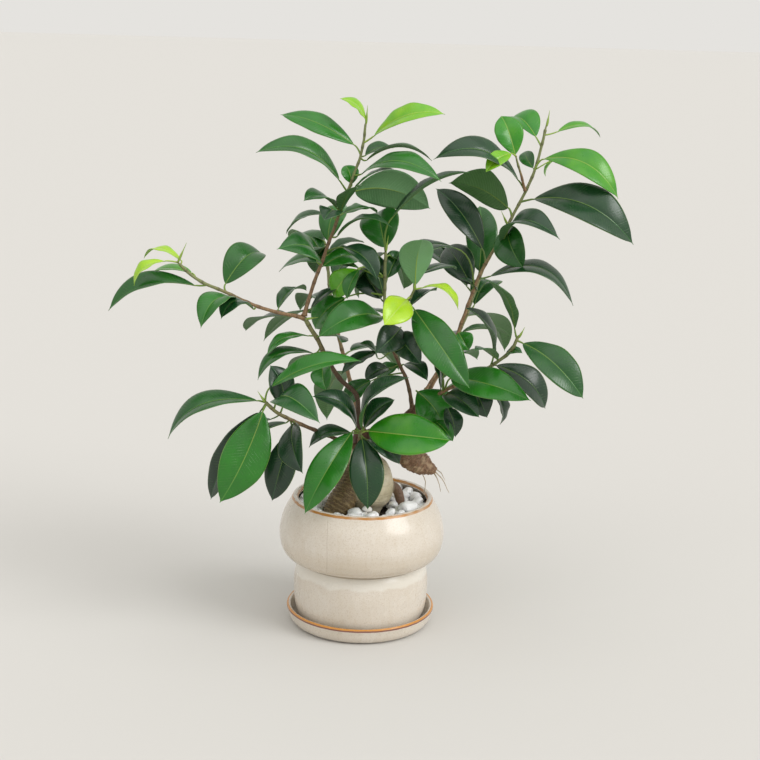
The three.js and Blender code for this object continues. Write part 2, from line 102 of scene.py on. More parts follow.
# Leaves with a node in CAD: name, stem, where the stalk leaves it, where the blade starts, the tip, the
# blade's width, the rise of its arch, its roll towards the front in degrees, and its tone, from dark (0)
# to lime (1).
LEAVES = [
    ("leaf_left_tip", "branch_left", (-141, 311), (-153, 311), (-230, 286, -38), 30, 13, 12, 0.35),
    ("leaf_left_upright", "branch_left", (-125, 305), (-126, 313), (-94, 341, 16), 32, 12, 25, 0.4),
    ("leaf_left_hanging", "branch_left", (-112, 299), (-117, 299), (-148, 272, -66), 27, 14, 5, 0.45),
    ("leaf_left_inner", "branch_left", (-66, 285), (-70, 285), (-108, 271, 30), 25, 6, 10, 0.15),
    ("leaf_summit_right", "stem_top", (-6, 439), (2, 446), (63, 466, -4), 24, 12, 35, 0.85),
    ("leaf_summit_left", "stem_top", (-9, 429), (-15, 438), (-79, 462, 24), 26, 10, 38, 0.5),
    ("leaf_high_left", "stem_top", (-20, 397), (-27, 407), (-100, 429, -18), 27, 18, 36, 0.4),
    ("leaf_high_striped", "stem_top", (-14, 411), (-8, 413), (62, 408, -32), 28, 18, 28, 0.45),
    ("leaf_high_under", "stem_top", (-18, 396), (-13, 398), (53, 384, 34), 40, 13, -62, 0.6),
    ("leaf_upper_left", "stem_top", (-42, 332), (-45, 335), (-81, 345, -48), 34, 14, 42, 0.35),
    ("leaf_blue", "stem_centre", (15, 322), (-8, 330), (-79, 325, 36), 26, 14, 24, 0.35),
    ("leaf_heart", "stem_centre", (15, 345), (14, 349), (7, 380, 42), 36, 8, 20, 0.4),
    ("leaf_middle_high", "stem_centre", (15, 345), (20, 376), (86, 417, -18), 25, 8, 10, 0.15),
    ("leaf_middle_light", "stem_centre", (17, 284), (13, 287), (-43, 267, -40), 32, 18, 40, 0.45),
    ("leaf_lime", "twig_centre", (38, 306), (35, 303), (15, 279, -64), 27, 6, 35, 1.0),
    ("leaf_pale", "twig_centre", (42, 312), (42, 316), (47, 357, -54), 30, 5, 0, 0.62),
    ("leaf_front_slate", "twig_centre", (36, 300), (42, 294), (94, 223, -74), 32, 14, 45, 0.42),
    ("leaf_right_slate", "stem_right", (135, 402), (129, 411), (54, 427, 16), 32, 20, 30, 0.15),
    ("leaf_right_dark", "stem_right", (102, 335), (100, 350), (57, 402, 74), 28, 8, 35, 0.05),
    ("leaf_right_long", "stem_right", (93, 312), (77, 350), (23, 331, -6), 27, 12, 10, 0.1),
    ("leaf_right_top", "stem_right", (147, 441), (142, 449), (119, 463, 94), 30, 8, 10, 0.6),
    # This leaf's tone is partly its own green and partly raised as painted sheen.
    ("leaf_right_bright", "stem_right", (142, 418), (150, 430), (217, 397, 8), 32, 20, 38, 0.68),
    ("leaf_right_largest", "stem_right", (132, 391), (143, 395), (233, 357, 2), 41, 26, 44, 0.15),
    ("leaf_right_low", "stem_right", (110, 350), (117, 354), (168, 360, -20), 30, 22, 22, 0.1),
    ("leaf_right_wide", "stem_right", (98, 323), (108, 326), (183, 301, 4), 30, 24, 18, 0.15),
    ("leaf_low_right_up", "stem_lower_right", (134, 270), (132, 279), (99, 324, -74), 28, 10, 10, 0.2),
    ("leaf_low_right_tip", "stem_lower_right", (135, 268), (140, 266), (197, 216, -84), 32, 14, 35, 0.3),
    ("leaf_low_right_light", "stem_lower_right", (72, 220), (77, 232), (150, 213, -72), 32, 14, 45, 0.5),
    ("leaf_front_bright", "twig_front", (-3, 179), (4, 181), (79, 174, -46), 38, 8, 62, 0.65),
    ("leaf_front_hanging", "twig_front", (-3, 178), (-2, 174), (5, 106, -52), 31, 8, 10, 0.15),
    ("leaf_front_left", "twig_front", (-3, 179), (-11, 180), (-53, 100, -64), 30, 16, 40, 0.5),
    ("leaf_low_left_tip", "stem_lower_left", (-89, 205), (-97, 207), (-178, 169, -76), 30, 20, 15, 0.3),
    # This leaf's tone is partly its own green and partly raised as painted sheen.
    ("leaf_low_left_big", "stem_lower_left", (-89, 204), (-92, 197), (-131, 109, -80), 41, 8, 70, 0.52),
    ("leaf_low_left_glossy", "stem_lower_left", (-90, 206), (-85, 220), (-4, 246, -70), 25, 12, 30, 0.5),
    ("leaf_low_left_dome", "stem_lower_left", (-82, 199), (-80, 206), (-40, 187, -104), 30, 18, 30, 0.3),
    ("leaf_back_low", "stem_back_left", (-14, 230), (-16, 236), (-34, 190, 128), 31, 14, 0, 0.25),
    ("leaf_back_left", "stem_back_left", (-27, 280), (-32, 285), (-92, 262, 118), 31, 16, 0, 0.25),
    ("leaf_back_right", "stem_back_right", (86, 286), (90, 290), (124, 258, 140), 32, 14, 0, 0.25),
    ("leaf_back_high", "stem_back_right", (99, 326), (97, 332), (64, 340, 152), 31, 14, 0, 0.25),
]
# The leaves above that are still soft and pale, and the tone above which a small leaf counts as one.
YOUNG_TONE = 0.8

# Leaves without a node in CAD, in the same terms, for each stem.
SMALL_LEAVES = {
    "branch_left": [
        ((-168, 331), (-180, 332), (-207, 309, -42), 17, 8, 15, 0.95),
        ((-166, 329), (-165, 333), (-198, 334, -10), 15, 10, 5, 0.95),
        ((-152, 317), (-156, 322), (-198, 313, -2), 20, 8, 5, 0.7),
        ((-99, 294), (-101, 291), (-130, 281, -50), 24, 12, 5, 0.2),
        ((-77, 288), (-79, 292), (-54, 309, 30), 18, 8, -10, 0.3),
    ],
    "stem_top": [
        ((-5, 455), (-5, 459), (-28, 477, 8), 18, 6, 30, 0.9),
        ((-18, 400), (-16, 404), (-22, 420, 20), 16, 3, 20, 0.55),
        ((-9, 428), (-5, 429), (19, 436, 30), 18, 4, 10, 0.3),
        ((-9, 427), (-4, 425), (53, 426, 4), 22, 12, 0, 0.35),
        ((-20, 396), (-15, 399), (20, 418, -14), 20, 5, 15, 0.55),
        ((-27, 375), (-25, 380), (-7, 403, -30), 20, 5, 10, 0.3),
        ((-26, 380), (-29, 383), (-58, 388, -26), 22, 7, 12, 0.3),
        ((-28, 376), (-29, 378), (-40, 371, -48), 22, 6, 10, 0.1),
        ((-29, 371), (-38, 377), (-73, 359, 10), 22, 7, 12, 0.35),
        ((-27, 375), (-23, 378), (7, 379, 26), 20, 6, 10, 0.45),
        ((-33, 357), (-28, 358), (20, 367, -20), 25, 12, 10, 0.25),
        ((-39, 340), (-35, 342), (-4, 353, 20), 18, 5, 0, 0.35),
        ((-36, 350), (-39, 348), (-47, 324, 34), 20, 5, 20, 0.1),
        ((-38, 343), (-22, 348), (8, 320, -34), 22, 8, 20, 0.1),
        ((-42, 332), (-40, 331), (-9, 338, 22), 24, 8, 30, 0.5),
    ],
    "stem_centre": [
        ((15, 306), (13, 310), (0, 345, 20), 20, 4, 30, 0.25),
        ((15, 318), (17, 322), (27, 346, 18), 18, 4, 30, 0.3),
        ((15, 322), (-10, 329), (-30, 303, -4), 26, 6, 50, 0.75),
        ((15, 340), (13, 344), (-8, 303, 30), 30, 6, 40, 0.3),
        ((15, 340), (19, 342), (32, 312, 34), 30, 6, 30, 0.45),
        ((15, 322), (-8, 329), (-18, 302, -20), 14, 4, 10, 0.45),
        ((15, 300), (12, 303), (-9, 329, 24), 28, 5, 35, 0.0),
        ((15, 306), (-20, 303), (-46, 274, 12), 28, 6, 55, 0.5),
        ((24, 268), (30, 277), (8, 253, -40), 26, 6, 45, 0.05),
        ((26, 270), (28, 272), (50, 244, -44), 24, 8, 40, 0.05),
        ((31, 242), (34, 244), (56, 229, -24), 18, 7, 15, 0.2),
        ((24, 258), (10, 255), (-22, 233, -20), 16, 5, 20, 0.15),
        ((24, 258), (10, 250), (-6, 262, -10), 14, 4, 20, 0.3),
        ((30, 244), (30, 243), (10, 226, 10), 22, 4, 40, 0.45),
        ((34, 236), (5, 228), (-18, 205, 0), 20, 4, 40, 0.4),
        ((30, 244), (20, 240), (0, 228, -16), 16, 5, 30, 0.1),
    ],
    "twig_centre": [
        ((42, 312), (48, 314), (81, 295, -42), 18, 10, 5, 1.0),
        ((35, 297), (39, 298), (61, 312, 8), 20, 4, -5, 0.05),
        ((41, 312), (46, 326), (78, 331, 22), 22, 6, 0, 0.2),
    ],
    "stem_right": [
        ((124, 379), (121, 387), (68, 407, 60), 44, 10, -58, 0.35),
        ((141, 417), (141, 422), (133, 436, 78), 14, 2, 30, 0.4),
        ((96, 318), (91, 318), (68, 351, 74), 30, 6, 30, 0.05),
        ((151, 450), (161, 454), (198, 450, 57), 18, 9, 15, 0.7),
        ((143, 420), (157, 428), (152, 415, 48), 8, 2, 30, 0.8),
        ((119, 368), (121, 370), (137, 334, 8), 30, 8, 60, 0.35),
        ((95, 315), (98, 312), (81, 323, 28), 10, 3, 10, 0.2),
        ((81, 270), (85, 275), (128, 272, 30), 22, 5, -5, 0.3),
        ((81, 272), (82, 274), (92, 258, 12), 20, 4, 50, 0.5),
    ],
    "twig_right_top": [
        ((126, 431), (121, 434), (100, 417, 10), 16, 5, 30, 0.85),
        ((126, 431), (125, 433), (111, 466, 50), 26, 6, 30, 0.65),
    ],
    "stem_lower_right": [
        ((112, 244), (114, 254), (87, 297, -50), 28, 8, 30, 0.05),
        ((118, 250), (118, 250), (97, 258, -80), 16, 5, 0, 0.25),
        ((125, 255), (125, 255), (140, 257, -50), 12, 3, 30, 0.3),
        ((70, 220), (70, 232), (39, 286, -40), 20, 8, 10, 0.5),
        ((70, 220), (70, 232), (64, 258, -40), 22, 6, 20, 0.15),
        ((66, 218), (68, 220), (52, 263, -16), 24, 6, 20, 0.1),
        ((112, 244), (117, 245), (163, 206, -40), 30, 12, 35, 0.05),
        ((69, 220), (71, 222), (98, 222, 10), 20, 4, -40, 0.5),
        ((70, 219), (72, 217), (104, 196, -64), 24, 9, 25, 0.15),
        ((95, 232), (97, 226), (111, 196, -46), 22, 7, 35, 0.05),
        ((108, 240), (116, 222), (123, 190, -36), 20, 5, 30, 0.1),
        ((58, 210), (47, 219), (70, 188, -16), 38, 8, 50, 0.5),
        ((58, 210), (74, 206), (83, 177, -28), 18, 6, 20, 0.1),
        ((60, 212), (64, 192), (81, 173, -34), 14, 5, 40, 0.45),
    ],
    "twig_front": [
        ((-3, 180), (-7, 184), (-48, 212, -50), 26, 12, 35, 0.1),
        ((-3, 180), (-2, 183), (39, 232, -52), 26, 14, 30, 0.2),
        ((-3, 180), (0, 184), (27, 211, -30), 20, 6, 35, 0.2),
        ((-3, 179), (-12, 179), (-50, 164, -40), 22, 8, 15, 0.2),
        ((-3, 178), (3, 173), (33, 150, -44), 24, 8, 20, 0.1),
    ],
    "stem_lower_left": [
        ((-91, 203), (-95, 196), (-139, 112, -50), 26, 12, 60, 0.0),
        ((-76, 196), (-74, 203), (-86, 240, -50), 28, 6, 35, 0.05),
        ((-66, 189), (-64, 187), (-55, 139, -94), 30, 8, 50, 0.05),
        ((-68, 190), (-66, 180), (-83, 112, -56), 28, 8, 50, 0.0),
        ((-68, 190), (-71, 187), (-104, 141, -36), 22, 14, 10, 0.3),
        ((-76, 195), (-85, 190), (-98, 172, -36), 14, 5, 20, 0.2),
    ],
    "stem_left": [
        ((-46, 268), (-52, 268), (-89, 248, -24), 20, 9, 5, 0.5),
        ((-42, 258), (-47, 252), (-97, 226, -30), 22, 14, 5, 0.35),
        ((-43, 267), (-42, 268), (-22, 262, -50), 24, 5, -30, 0.3),
        ((-33, 243), (-38, 241), (-35, 218, -34), 20, 5, 35, 0.45),
        ((-53, 291), (-50, 293), (-16, 314, 10), 20, 6, 0, 0.1),
    ],
    "stem_back_left": [
        ((-17, 240), (-22, 246), (-70, 232, 96), 28, 12, 0, 0.2),
        ((-20, 250), (-14, 255), (30, 238, 110), 30, 12, 0, 0.3),
        ((-26, 276), (-20, 280), (24, 284, 120), 29, 12, 0, 0.2),
        ((-30, 292), (-36, 296), (-60, 290, 130), 28, 12, 0, 0.3),
        ((-34, 318), (-30, 322), (0, 330, 140), 30, 12, 0, 0.25),
        ((-36, 335), (-41, 340), (-70, 352, 120), 29, 14, 0, 0.35),
        ((-38, 348), (-36, 353), (-20, 385, 110), 28, 12, 0, 0.45),
        ((-38, 350), (-40, 354), (-52, 330, 140), 29, 14, 0, 0.3),
    ],
    "stem_back_right": [
        ((56, 224), (58, 222), (70, 190, 70), 30, 12, 0, 0.2),
        ((60, 232), (66, 236), (100, 250, 90), 29, 12, 0, 0.2),
        ((68, 245), (62, 250), (14, 262, 120), 28, 12, 0, 0.3),
        ((78, 262), (76, 266), (66, 262, 145), 30, 10, 0, 0.25),
        ((90, 296), (95, 300), (116, 318, 122), 28, 12, 0, 0.3),
        ((94, 310), (88, 316), (34, 346, 138), 31, 14, 0, 0.2),
        ((98, 322), (98, 330), (96, 388, 120), 30, 12, 0, 0.35),
        ((102, 336), (98, 342), (60, 392, 140), 30, 14, 0, 0.4),
        ((102, 336), (100, 342), (86, 340, 145), 28, 10, 0, 0.5),
    ],
}

# Buds in their slender sheaths: foot and tip, as crown points.
BUDS = [
    ((-168, 331, -30), (-160, 349, -30)),
    ((-5, 456, 14), (-4, 472, 13)),
    ((-28, 376, 2), (-35, 385, -2)),
    ((15, 345, -3), (17, 360, -4)),
    ((151, 458, 45), (153, 472, 46)),
    ((121, 372, 36), (115, 384, 33)),
    ((136, 271, -50), (141, 281, -52)),
    ((42, 312, -26), (41, 322, -28)),
    ((-55, 283, -12), (-43, 285, -14)),
    ((-90, 206, -60), (-97, 216, -62)),
]
BUD_RADIUS = 1.3


def crown_point(across, height, depth):
    """A point of the elevation carried along its line of sight to its own depth, in millimetres."""
    spread = 1 + depth / EYE_DISTANCE
    return np.array((across * spread, depth, EYE_HEIGHT + (height - EYE_HEIGHT) * spread))


def point_on_route(route, aim):
    """The route's point whose elevation is nearest to aim."""
    line = np.array(route, float)
    nearest = []
    for a, b in zip(line, line[1:]):
        run = (b - a)[:2]
        t = min(max((aim - a[:2]) @ run / (run @ run), 0), 1)
        nearest.append(a + (b - a) * t)
    return min(nearest, key=lambda point: np.linalg.norm(aim - point[:2]))


# ---------- geometry helpers ----------


def smooth_line(points, per_span):
    """Centripetal Catmull-Rom line through the points, with per_span steps for each span."""
    p = [np.array(point, float) for point in points]
    p = [2 * p[0] - p[1], *p, 2 * p[-1] - p[-2]]
    t = np.arange(per_span)[:, None] / per_span
    spans = []
    for p0, p1, p2, p3 in zip(p, p[1:], p[2:], p[3:]):
        d0, d1, d2 = (max(np.linalg.norm(b - a), 1e-6) ** 0.5 for a, b in ((p0, p1), (p1, p2), (p2, p3)))
        m1 = ((p1 - p0) / d0 - (p2 - p0) / (d0 + d1) + (p2 - p1) / d1) * d1
        m2 = ((p2 - p1) / d1 - (p3 - p1) / (d1 + d2) + (p3 - p2) / d2) * d1
        spans.append((2 * t**3 - 3 * t**2 + 1) * p1 + (t**3 - 2 * t**2 + t) * m1
                     + (3 * t**2 - 2 * t**3) * p2 + (t**3 - t**2) * m2)
    return np.vstack([*spans, p[-2][None]])


def unit(vectors):
    """The vectors at length 1."""
    return vectors / np.linalg.norm(vectors, axis=-1, keepdims=True)


def lengths_along(points):
    """Distance of each point from the first, along the line."""
    return np.concatenate([[0], np.cumsum(np.linalg.norm(np.diff(points, axis=0), axis=1))])


def line_frames(points):
    """Unit tangent and two normals at each point, turning as little as they can."""
    tangent = unit(np.gradient(points, axis=0))
    first = np.cross(tangent[0], (0, 0, 1) if abs(tangent[0][2]) < 0.9 else (0, 1, 0))
    u = [unit(first)]
    for t in tangent[1:]:
        u.append(unit(u[-1] - t * (u[-1] @ t)))
    u = np.array(u)
    return tangent, u, np.cross(tangent, u)


def new_object(name, data):
    """An object of this data, in the scene."""
    made = bpy.data.objects.new(name, data)
    bpy.context.scene.collection.objects.link(made)
    return made


class Skin:
    """One object in the making: closed shells, the material of each face and the shaders' values.

    Each point carries the vector place and the number edge, which the materials read. On a leaf they are the
    length from the blade's start, the distance from the midrib and the tone, and the share of the half width.
    On a stem place is darkness, youth and scar. On the caudex it is how far the point belongs to the leg, the
    tuber and the bark, and edge is the length along its limb.
    """

    def __init__(self):
        self.points, self.place, self.edge = [], [], []
        self.faces, self.slots = [], []
        self.count = 0

    def shell(self, rings, place, edge, slots, flip=False, caps=True):
        """Rings of equally many points joined into a skin. slots has a material for each side."""
        n, m = rings.shape[:2]
        i, j = np.meshgrid(np.arange(n - 1), np.arange(m), indexing="ij")
        after = (j + 1) % m
        quads = np.stack([i * m + j, i * m + after, (i + 1) * m + after, (i + 1) * m + j], -1).reshape(-1, 4)
        self.faces += ((quads[:, ::-1] if flip else quads) + self.count).tolist()
        self.slots += np.tile(slots, n - 1).tolist()
        points, places, edges = rings.reshape(-1, 3), place.reshape(-1, 3), edge.reshape(-1)
        if caps:
            for ring, turned in ((0, not flip), (n - 1, flip)):
                middle = len(points) + self.count
                points = np.vstack([points, rings[ring].mean(0)[None]])
                places = np.vstack([places, place[ring].mean(0)[None]])
                edges = np.append(edges, edge[ring].mean())
                start = self.count + ring * m
                for k in range(m):
                    a, b = start + k, start + (k + 1) % m
                    self.faces.append([b, a, middle] if turned else [a, b, middle])
                    self.slots.append(slots[k])
        self.points.append(points)
        self.place.append(places)
        self.edge.append(edges)
        self.count += len(points)

    def tube(self, points, radii, sides, slot, place, edge=0.0, shape=None):
        """A tube along points. shape may scale the radius at each point of each ring, for ridges."""
        _, u, v = line_frames(points)
        angle = np.linspace(0, 2 * math.pi, sides, endpoint=False)
        radius = np.asarray(radii, float)[:, None] * np.ones(sides)
        if shape is not None:
            radius = radius * shape
        rings = points[:, None] + radius[..., None] * (
            np.cos(angle)[None, :, None] * u[:, None] + np.sin(angle)[None, :, None] * v[:, None])
        places = np.repeat(np.asarray(place, float)[:, None], sides, axis=1)
        self.shell(rings, places, np.full(rings.shape[:2], edge), [slot] * sides)

    def body(self, points, faces, place, edge):
        """A closed body that is a mesh already, in the first material."""
        self.faces += [[corner + self.count for corner in face] for face in faces]
        self.slots += [0] * len(faces)
        self.points.append(points)
        self.place.append(place)
        self.edge.append(edge)
        self.count += len(points)

    def build(self, name, materials, ride=True):
        """The finished object, in metres."""
        mesh = bpy.data.meshes.new(name)
        mesh.from_pydata((np.vstack(self.points) * MM).tolist(), [], self.faces)
        for material in materials:
            mesh.materials.append(material)
        mesh.polygons.foreach_set("material_index", self.slots)
        mesh.attributes.new("place", "FLOAT_VECTOR", "POINT").data.foreach_set(
            "vector", np.vstack(self.place).astype(np.float32).ravel())
        mesh.attributes.new("edge", "FLOAT", "POINT").data.foreach_set(
            "value", np.concatenate(self.edge).astype(np.float32))
        mesh.shade_smooth()
        mesh.update()
        piece = new_object(name, mesh)
        if ride:
            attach(piece, "root")
        return piece


# ---------- materials ----------


def rgb(red, green, blue):
    """A colour given as display bytes, as the shader's linear values."""
    return tuple((c / 255 / 12.92) if c <= 10 else ((c / 255 + 0.055) / 1.055) ** 2.4
                 for c in (red, green, blue)) + (1.0,)


class Net:
    """A material and short calls that add nodes to it."""

    def __init__(self, name, roughness=0.5, **uniform):
        self.material = bpy.data.materials.new(name)
        self.material.use_nodes = True
        self.tree = self.material.node_tree
        self.shader = self.tree.nodes["Principled BSDF"]
        self.set("Roughness", roughness)
        for socket, value in uniform.items():
            self.set(socket.replace("_", " "), value)

    def set(self, socket, value):
        self.give(self.shader.inputs[socket], value)

    def give(self, socket, value):
        if isinstance(value, bpy.types.NodeSocket):
            self.tree.links.new(value, socket)
        else:
            socket.default_value = value

    def node(self, kind, inputs=(), **settings):
        made = self.tree.nodes.new("ShaderNode" + kind)
        for key, value in settings.items():
            setattr(made, key, value)
        for key, value in dict(inputs).items():
            self.give(made.inputs[key], value)
        return made

    def math(self, operation, a, b=0.0, c=0.0):
        return self.node("Math", {0: a, 1: b, 2: c}, operation=operation).outputs[0]

    def step(self, value, low, high):
        """0 below low and 1 above high, with a soft slope between. The two may be the other way round."""
        rising = low < high
        inputs = {0: value, 1: min(low, high), 2: max(low, high), 3: 0.0 if rising else 1.0,
                  4: 1.0 if rising else 0.0}
        return self.node("MapRange", inputs, interpolation_type="SMOOTHSTEP").outputs[0]

    def mix(self, factor, a, b):
        """Colour a where factor is 0, colour b where it is 1."""
        made = self.node("Mix", data_type="RGBA")
        for index, value in ((0, factor), (6, a), (7, b)):
            self.give(made.inputs[index], value)
        return made.outputs[2]

    def tint(self, colour, mask, share, over):
        """colour with that share of over laid on it where mask is 1."""
        return self.mix(self.math("MULTIPLY", mask, share), colour, over)

    def ramp(self, value, *stops):
        made = self.node("ValToRGB", {0: value})
        elements = made.color_ramp.elements
        while len(elements) < len(stops):
            elements.new(1.0)
        for element, (place, colour) in zip(elements, stops):
            element.position = place
            element.color = colour
        return made.outputs[0]

    def where(self, stretch=(1, 1, 1)):
        """Place on the object in millimetres, each axis multiplied by stretch."""
        scale = [value / MM for value in stretch]
        coordinates = self.node("TexCoord").outputs["Object"]
        return self.node("Mapping", {"Vector": coordinates, "Scale": scale}).outputs[0]

    def noise(self, vector, scale, detail=2.0, rough=0.5):
        inputs = {"Vector": vector, "Scale": scale, "Detail": detail, "Roughness": rough}
        return self.node("TexNoise", inputs).outputs[0]

    def wavering(self, value, vector, scale, reach):
        """value plus noise times reach, so that a line drawn with it wavers."""
        return self.math("MULTIPLY_ADD", self.noise(vector, scale, 2), reach, value)

    def cells(self, vector, scale):
        """Distance from the nearest of many scattered points."""
        return self.node("TexVoronoi", {"Vector": vector, "Scale": scale}).outputs["Distance"]

    def attribute(self, name, output="Fac"):
        return self.node("Attribute", attribute_name=name).outputs[output]

    def place(self):
        """The three values of the attribute place."""
        return self.node("SeparateXYZ", {0: self.attribute("place", "Vector")}).outputs

    def bump(self, height, depth):
        """Relief of the given depth in millimetres, where height goes from 0 to 1."""
        made = self.node("Bump", {"Height": height, "Distance": depth * MM, "Strength": 1.0})
        self.set("Normal", made.outputs[0])


VEIN_SPACING = 2.7  # mm between side veins, along the midrib
VEIN_SLANT = 0.55  # how far a side vein runs on towards the tip, per mm outwards


def side_veins(net, along, width):
    """0 on a side vein and 0.5 midway between two."""
    slanted = net.math("SUBTRACT", along, net.math("MULTIPLY", width, VEIN_SLANT))
    return net.math("PINGPONG", net.math("DIVIDE", slanted, VEIN_SPACING), 0.5)


def leaf_top():
    """Upper face: dark glossy green to lime by age, with a pale midrib, fine side veins and a pale margin."""
    net = Net("leaf_top", Coat_Weight=0.16, Coat_Roughness=0.14, Specular_IOR_Level=0.5)
    along, across, tone = net.place()
    width = net.math("ABSOLUTE", across)
    where = net.where()
    cloud = net.noise(where, 0.055, 2)
    fine = net.noise(where, 0.9, 3)
    shade = net.math("ADD", tone, net.math("MULTIPLY_ADD", cloud, 0.22, -0.11))
    colour = net.ramp(shade, (0.0, rgb(8, 42, 22)), (0.2, rgb(14, 64, 26)), (0.4, rgb(28, 96, 20)),
                      (0.62, rgb(38, 134, 10)), (0.82, rgb(106, 180, 18)), (1.0, rgb(178, 218, 34)))
    line = net.step(net.wavering(side_veins(net, along, width), where, 0.16, 0.5), 0.34, 0.16)
    colour = net.tint(colour, line, 0.14, rgb(120, 160, 70))
    colour = net.tint(colour, fine, 0.22, rgb(16, 62, 20))
    midrib = net.step(width, 0.7, 0.2)
    rib_colour = net.ramp(tone, (0.0, rgb(34, 82, 42)), (0.5, rgb(84, 142, 56)), (1.0, rgb(178, 210, 84)))
    colour = net.tint(colour, midrib, 0.65, rib_colour)
    rim = net.step(net.attribute("edge"), 0.955, 1.0)
    colour = net.tint(colour, rim, 0.45, rgb(150, 180, 90))
    net.set("Base Color", colour)
    net.set("Roughness", net.math("MULTIPLY_ADD", net.noise(where, 0.12, 3), 0.16, 0.22))
    relief = net.math("ADD", net.math("MULTIPLY", line, -0.5), net.math("MULTIPLY", fine, 0.3))
    net.bump(relief, 0.24)
    return net.material


def leaf_under():
    """Lower face: paler and matt, with raised veins."""
    net = Net("leaf_under", roughness=0.5)
    along, across, tone = net.place()
    where = net.where()
    colour = net.ramp(tone, (0.0, rgb(66, 104, 64)), (0.4, rgb(78, 124, 62)), (0.62, rgb(108, 156, 106)),
                      (0.85, rgb(130, 180, 70)), (1.0, rgb(178, 212, 80)))
    line = net.step(side_veins(net, along, net.math("ABSOLUTE", across)), 0.14, 0.03)
    colour = net.tint(colour, line, 0.16, rgb(150, 180, 120))
    fine = net.noise(where, 0.7, 3)
    colour = net.tint(colour, fine, 0.3, rgb(70, 108, 62))
    net.set("Base Color", colour)
    net.bump(net.math("ADD", line, net.math("MULTIPLY", fine, 0.5)), 0.15)
    return net.material


def leaf_stalk():
    """Stalk and midrib: yellow-green, a little reddish where they leave the stem."""
    net = Net("leaf_stalk", roughness=0.42)
    along, _, tone = net.place()
    colour = net.ramp(tone, (0.0, rgb(92, 118, 50)), (0.5, rgb(128, 160, 66)), (1.0, rgb(176, 202, 86)))
    foot = net.step(along, 3.0, 0.0)
    colour = net.tint(colour, foot, 0.7, rgb(116, 82, 46))
    speck = net.noise(net.where(), 1.1, 2)
    net.set("Base Color", net.tint(colour, speck, 0.35, rgb(84, 104, 44)))
    net.bump(speck, 0.12)
    return net.material


def bark():
    """Thin stems: brown bark with pale pores and leaf scars, green on the youngest wood."""
    net = Net("stem_bark", roughness=0.62)
    dark, young, scar = net.place()
    where = net.where((1, 1, 0.35))
    grain = net.noise(where, 0.8, 4, 0.6)
    colour = net.ramp(grain, (0.2, rgb(92, 68, 46)), (0.5, rgb(138, 108, 76)), (0.8, rgb(176, 146, 110)))
    colour = net.mix(dark, colour, rgb(62, 44, 32))
    green = net.ramp(grain, (0.2, rgb(96, 104, 62)), (0.8, rgb(146, 152, 100)))
    colour = net.mix(net.step(young, 0.42, 0.85), colour, green)
    colour = net.tint(colour, scar, 0.55, rgb(58, 40, 28))
    pores = net.step(net.cells(net.where((1, 1, 0.6)), 0.75), 0.22, 0.1)
    colour = net.tint(colour, pores, 0.6, rgb(176, 150, 120))
    net.set("Base Color", colour)
    net.set("Roughness", net.math("MULTIPLY_ADD", grain, 0.3, 0.45))
    net.bump(net.math("ADD", grain, pores), 0.3)
    return net.material


RING_SPACING = 3.4  # mm between the rings of the caudex's limbs


def caudex_skin():
    """Swollen root: pale tan bulb, dark ringed leg, brown wrinkled tuber and dark bark."""
    net = Net("caudex_skin", roughness=0.6)
    leg, tuber, root = net.place()
    axial = net.attribute("edge")
    where = net.where()
    blotch = net.noise(where, 0.07, 3, 0.6)
    fine = net.noise(where, 0.7, 4, 0.6)
    bulb = net.ramp(blotch, (0.25, rgb(204, 190, 156)), (0.5, rgb(227, 216, 186)), (0.75, rgb(238, 230, 206)))
    moss = net.step(net.noise(where, 0.045, 2), 0.52, 0.68)
    bulb = net.tint(bulb, moss, 0.22, rgb(134, 134, 88))
    bulb = net.tint(bulb, fine, 0.25, rgb(126, 104, 72))
    rings = net.math("PINGPONG", net.math("ADD", net.math("DIVIDE", axial, RING_SPACING), net.math(
        "MULTIPLY", net.noise(where, 0.09, 2), 1.5)), 0.5)
    ring = net.step(rings, 0.2, 0.04)
    dark = net.ramp(fine, (0.25, rgb(74, 58, 36)), (0.55, rgb(114, 94, 60)), (0.8, rgb(142, 120, 84)))
    dark = net.tint(dark, ring, 0.4, rgb(184, 162, 118))
    brown = net.ramp(fine, (0.2, rgb(84, 58, 40)), (0.5, rgb(128, 96, 70)), (0.8, rgb(166, 134, 104)))
    brown = net.mix(net.step(blotch, 0.52, 0.64), brown, rgb(178, 150, 120))
    brown = net.tint(brown, ring, 0.3, rgb(176, 148, 122))
    colour = net.mix(leg, bulb, dark)
    colour = net.mix(tuber, colour, brown)
    colour = net.mix(root, colour, rgb(104, 70, 50))
    specks = net.step(net.cells(where, 0.32), 0.16, 0.08)
    colour = net.tint(colour, specks, 0.5, rgb(92, 66, 44))
    net.set("Base Color", colour)
    net.set("Roughness", net.math("MULTIPLY_ADD", fine, 0.3, 0.42))
    net.bump(net.math("ADD", fine, net.math("MULTIPLY", ring, -0.8)), 0.45)
    return net.material


def glaze(name, lines):
    """Cream stoneware glaze with fine brown specks. lines is the function that adds its bands."""
    net = Net(name, Coat_Weight=0.3, Coat_Roughness=0.16)
    where = net.where()
    height = net.node("SeparateXYZ", {0: where}).outputs[2]
    cloud = net.noise(where, 0.03, 3)
    colour = net.ramp(cloud, (0.2, rgb(208, 198, 183)), (0.5, rgb(214, 205, 192)), (0.8, rgb(219, 212, 201)))
    streaks = net.noise(net.where((1, 1, 0.12)), 0.3, 3)
    colour = net.tint(colour, net.step(streaks, 0.45, 0.75), 0.14, rgb(188, 170, 138))
    specks = net.step(net.noise(where, 0.85, 3, 0.7), 0.5, 0.66)
    colour = net.tint(colour, specks, 0.36, rgb(176, 156, 126))
    colour = lines(net, colour, where, height)
    net.set("Base Color", colour)
    net.set("Roughness", net.math("MULTIPLY_ADD", cloud, 0.06, 0.24))
    net.bump(net.math("ADD", net.noise(where, 0.05, 2), net.math("MULTIPLY", specks, 0.05)), 0.5)
    return net.material


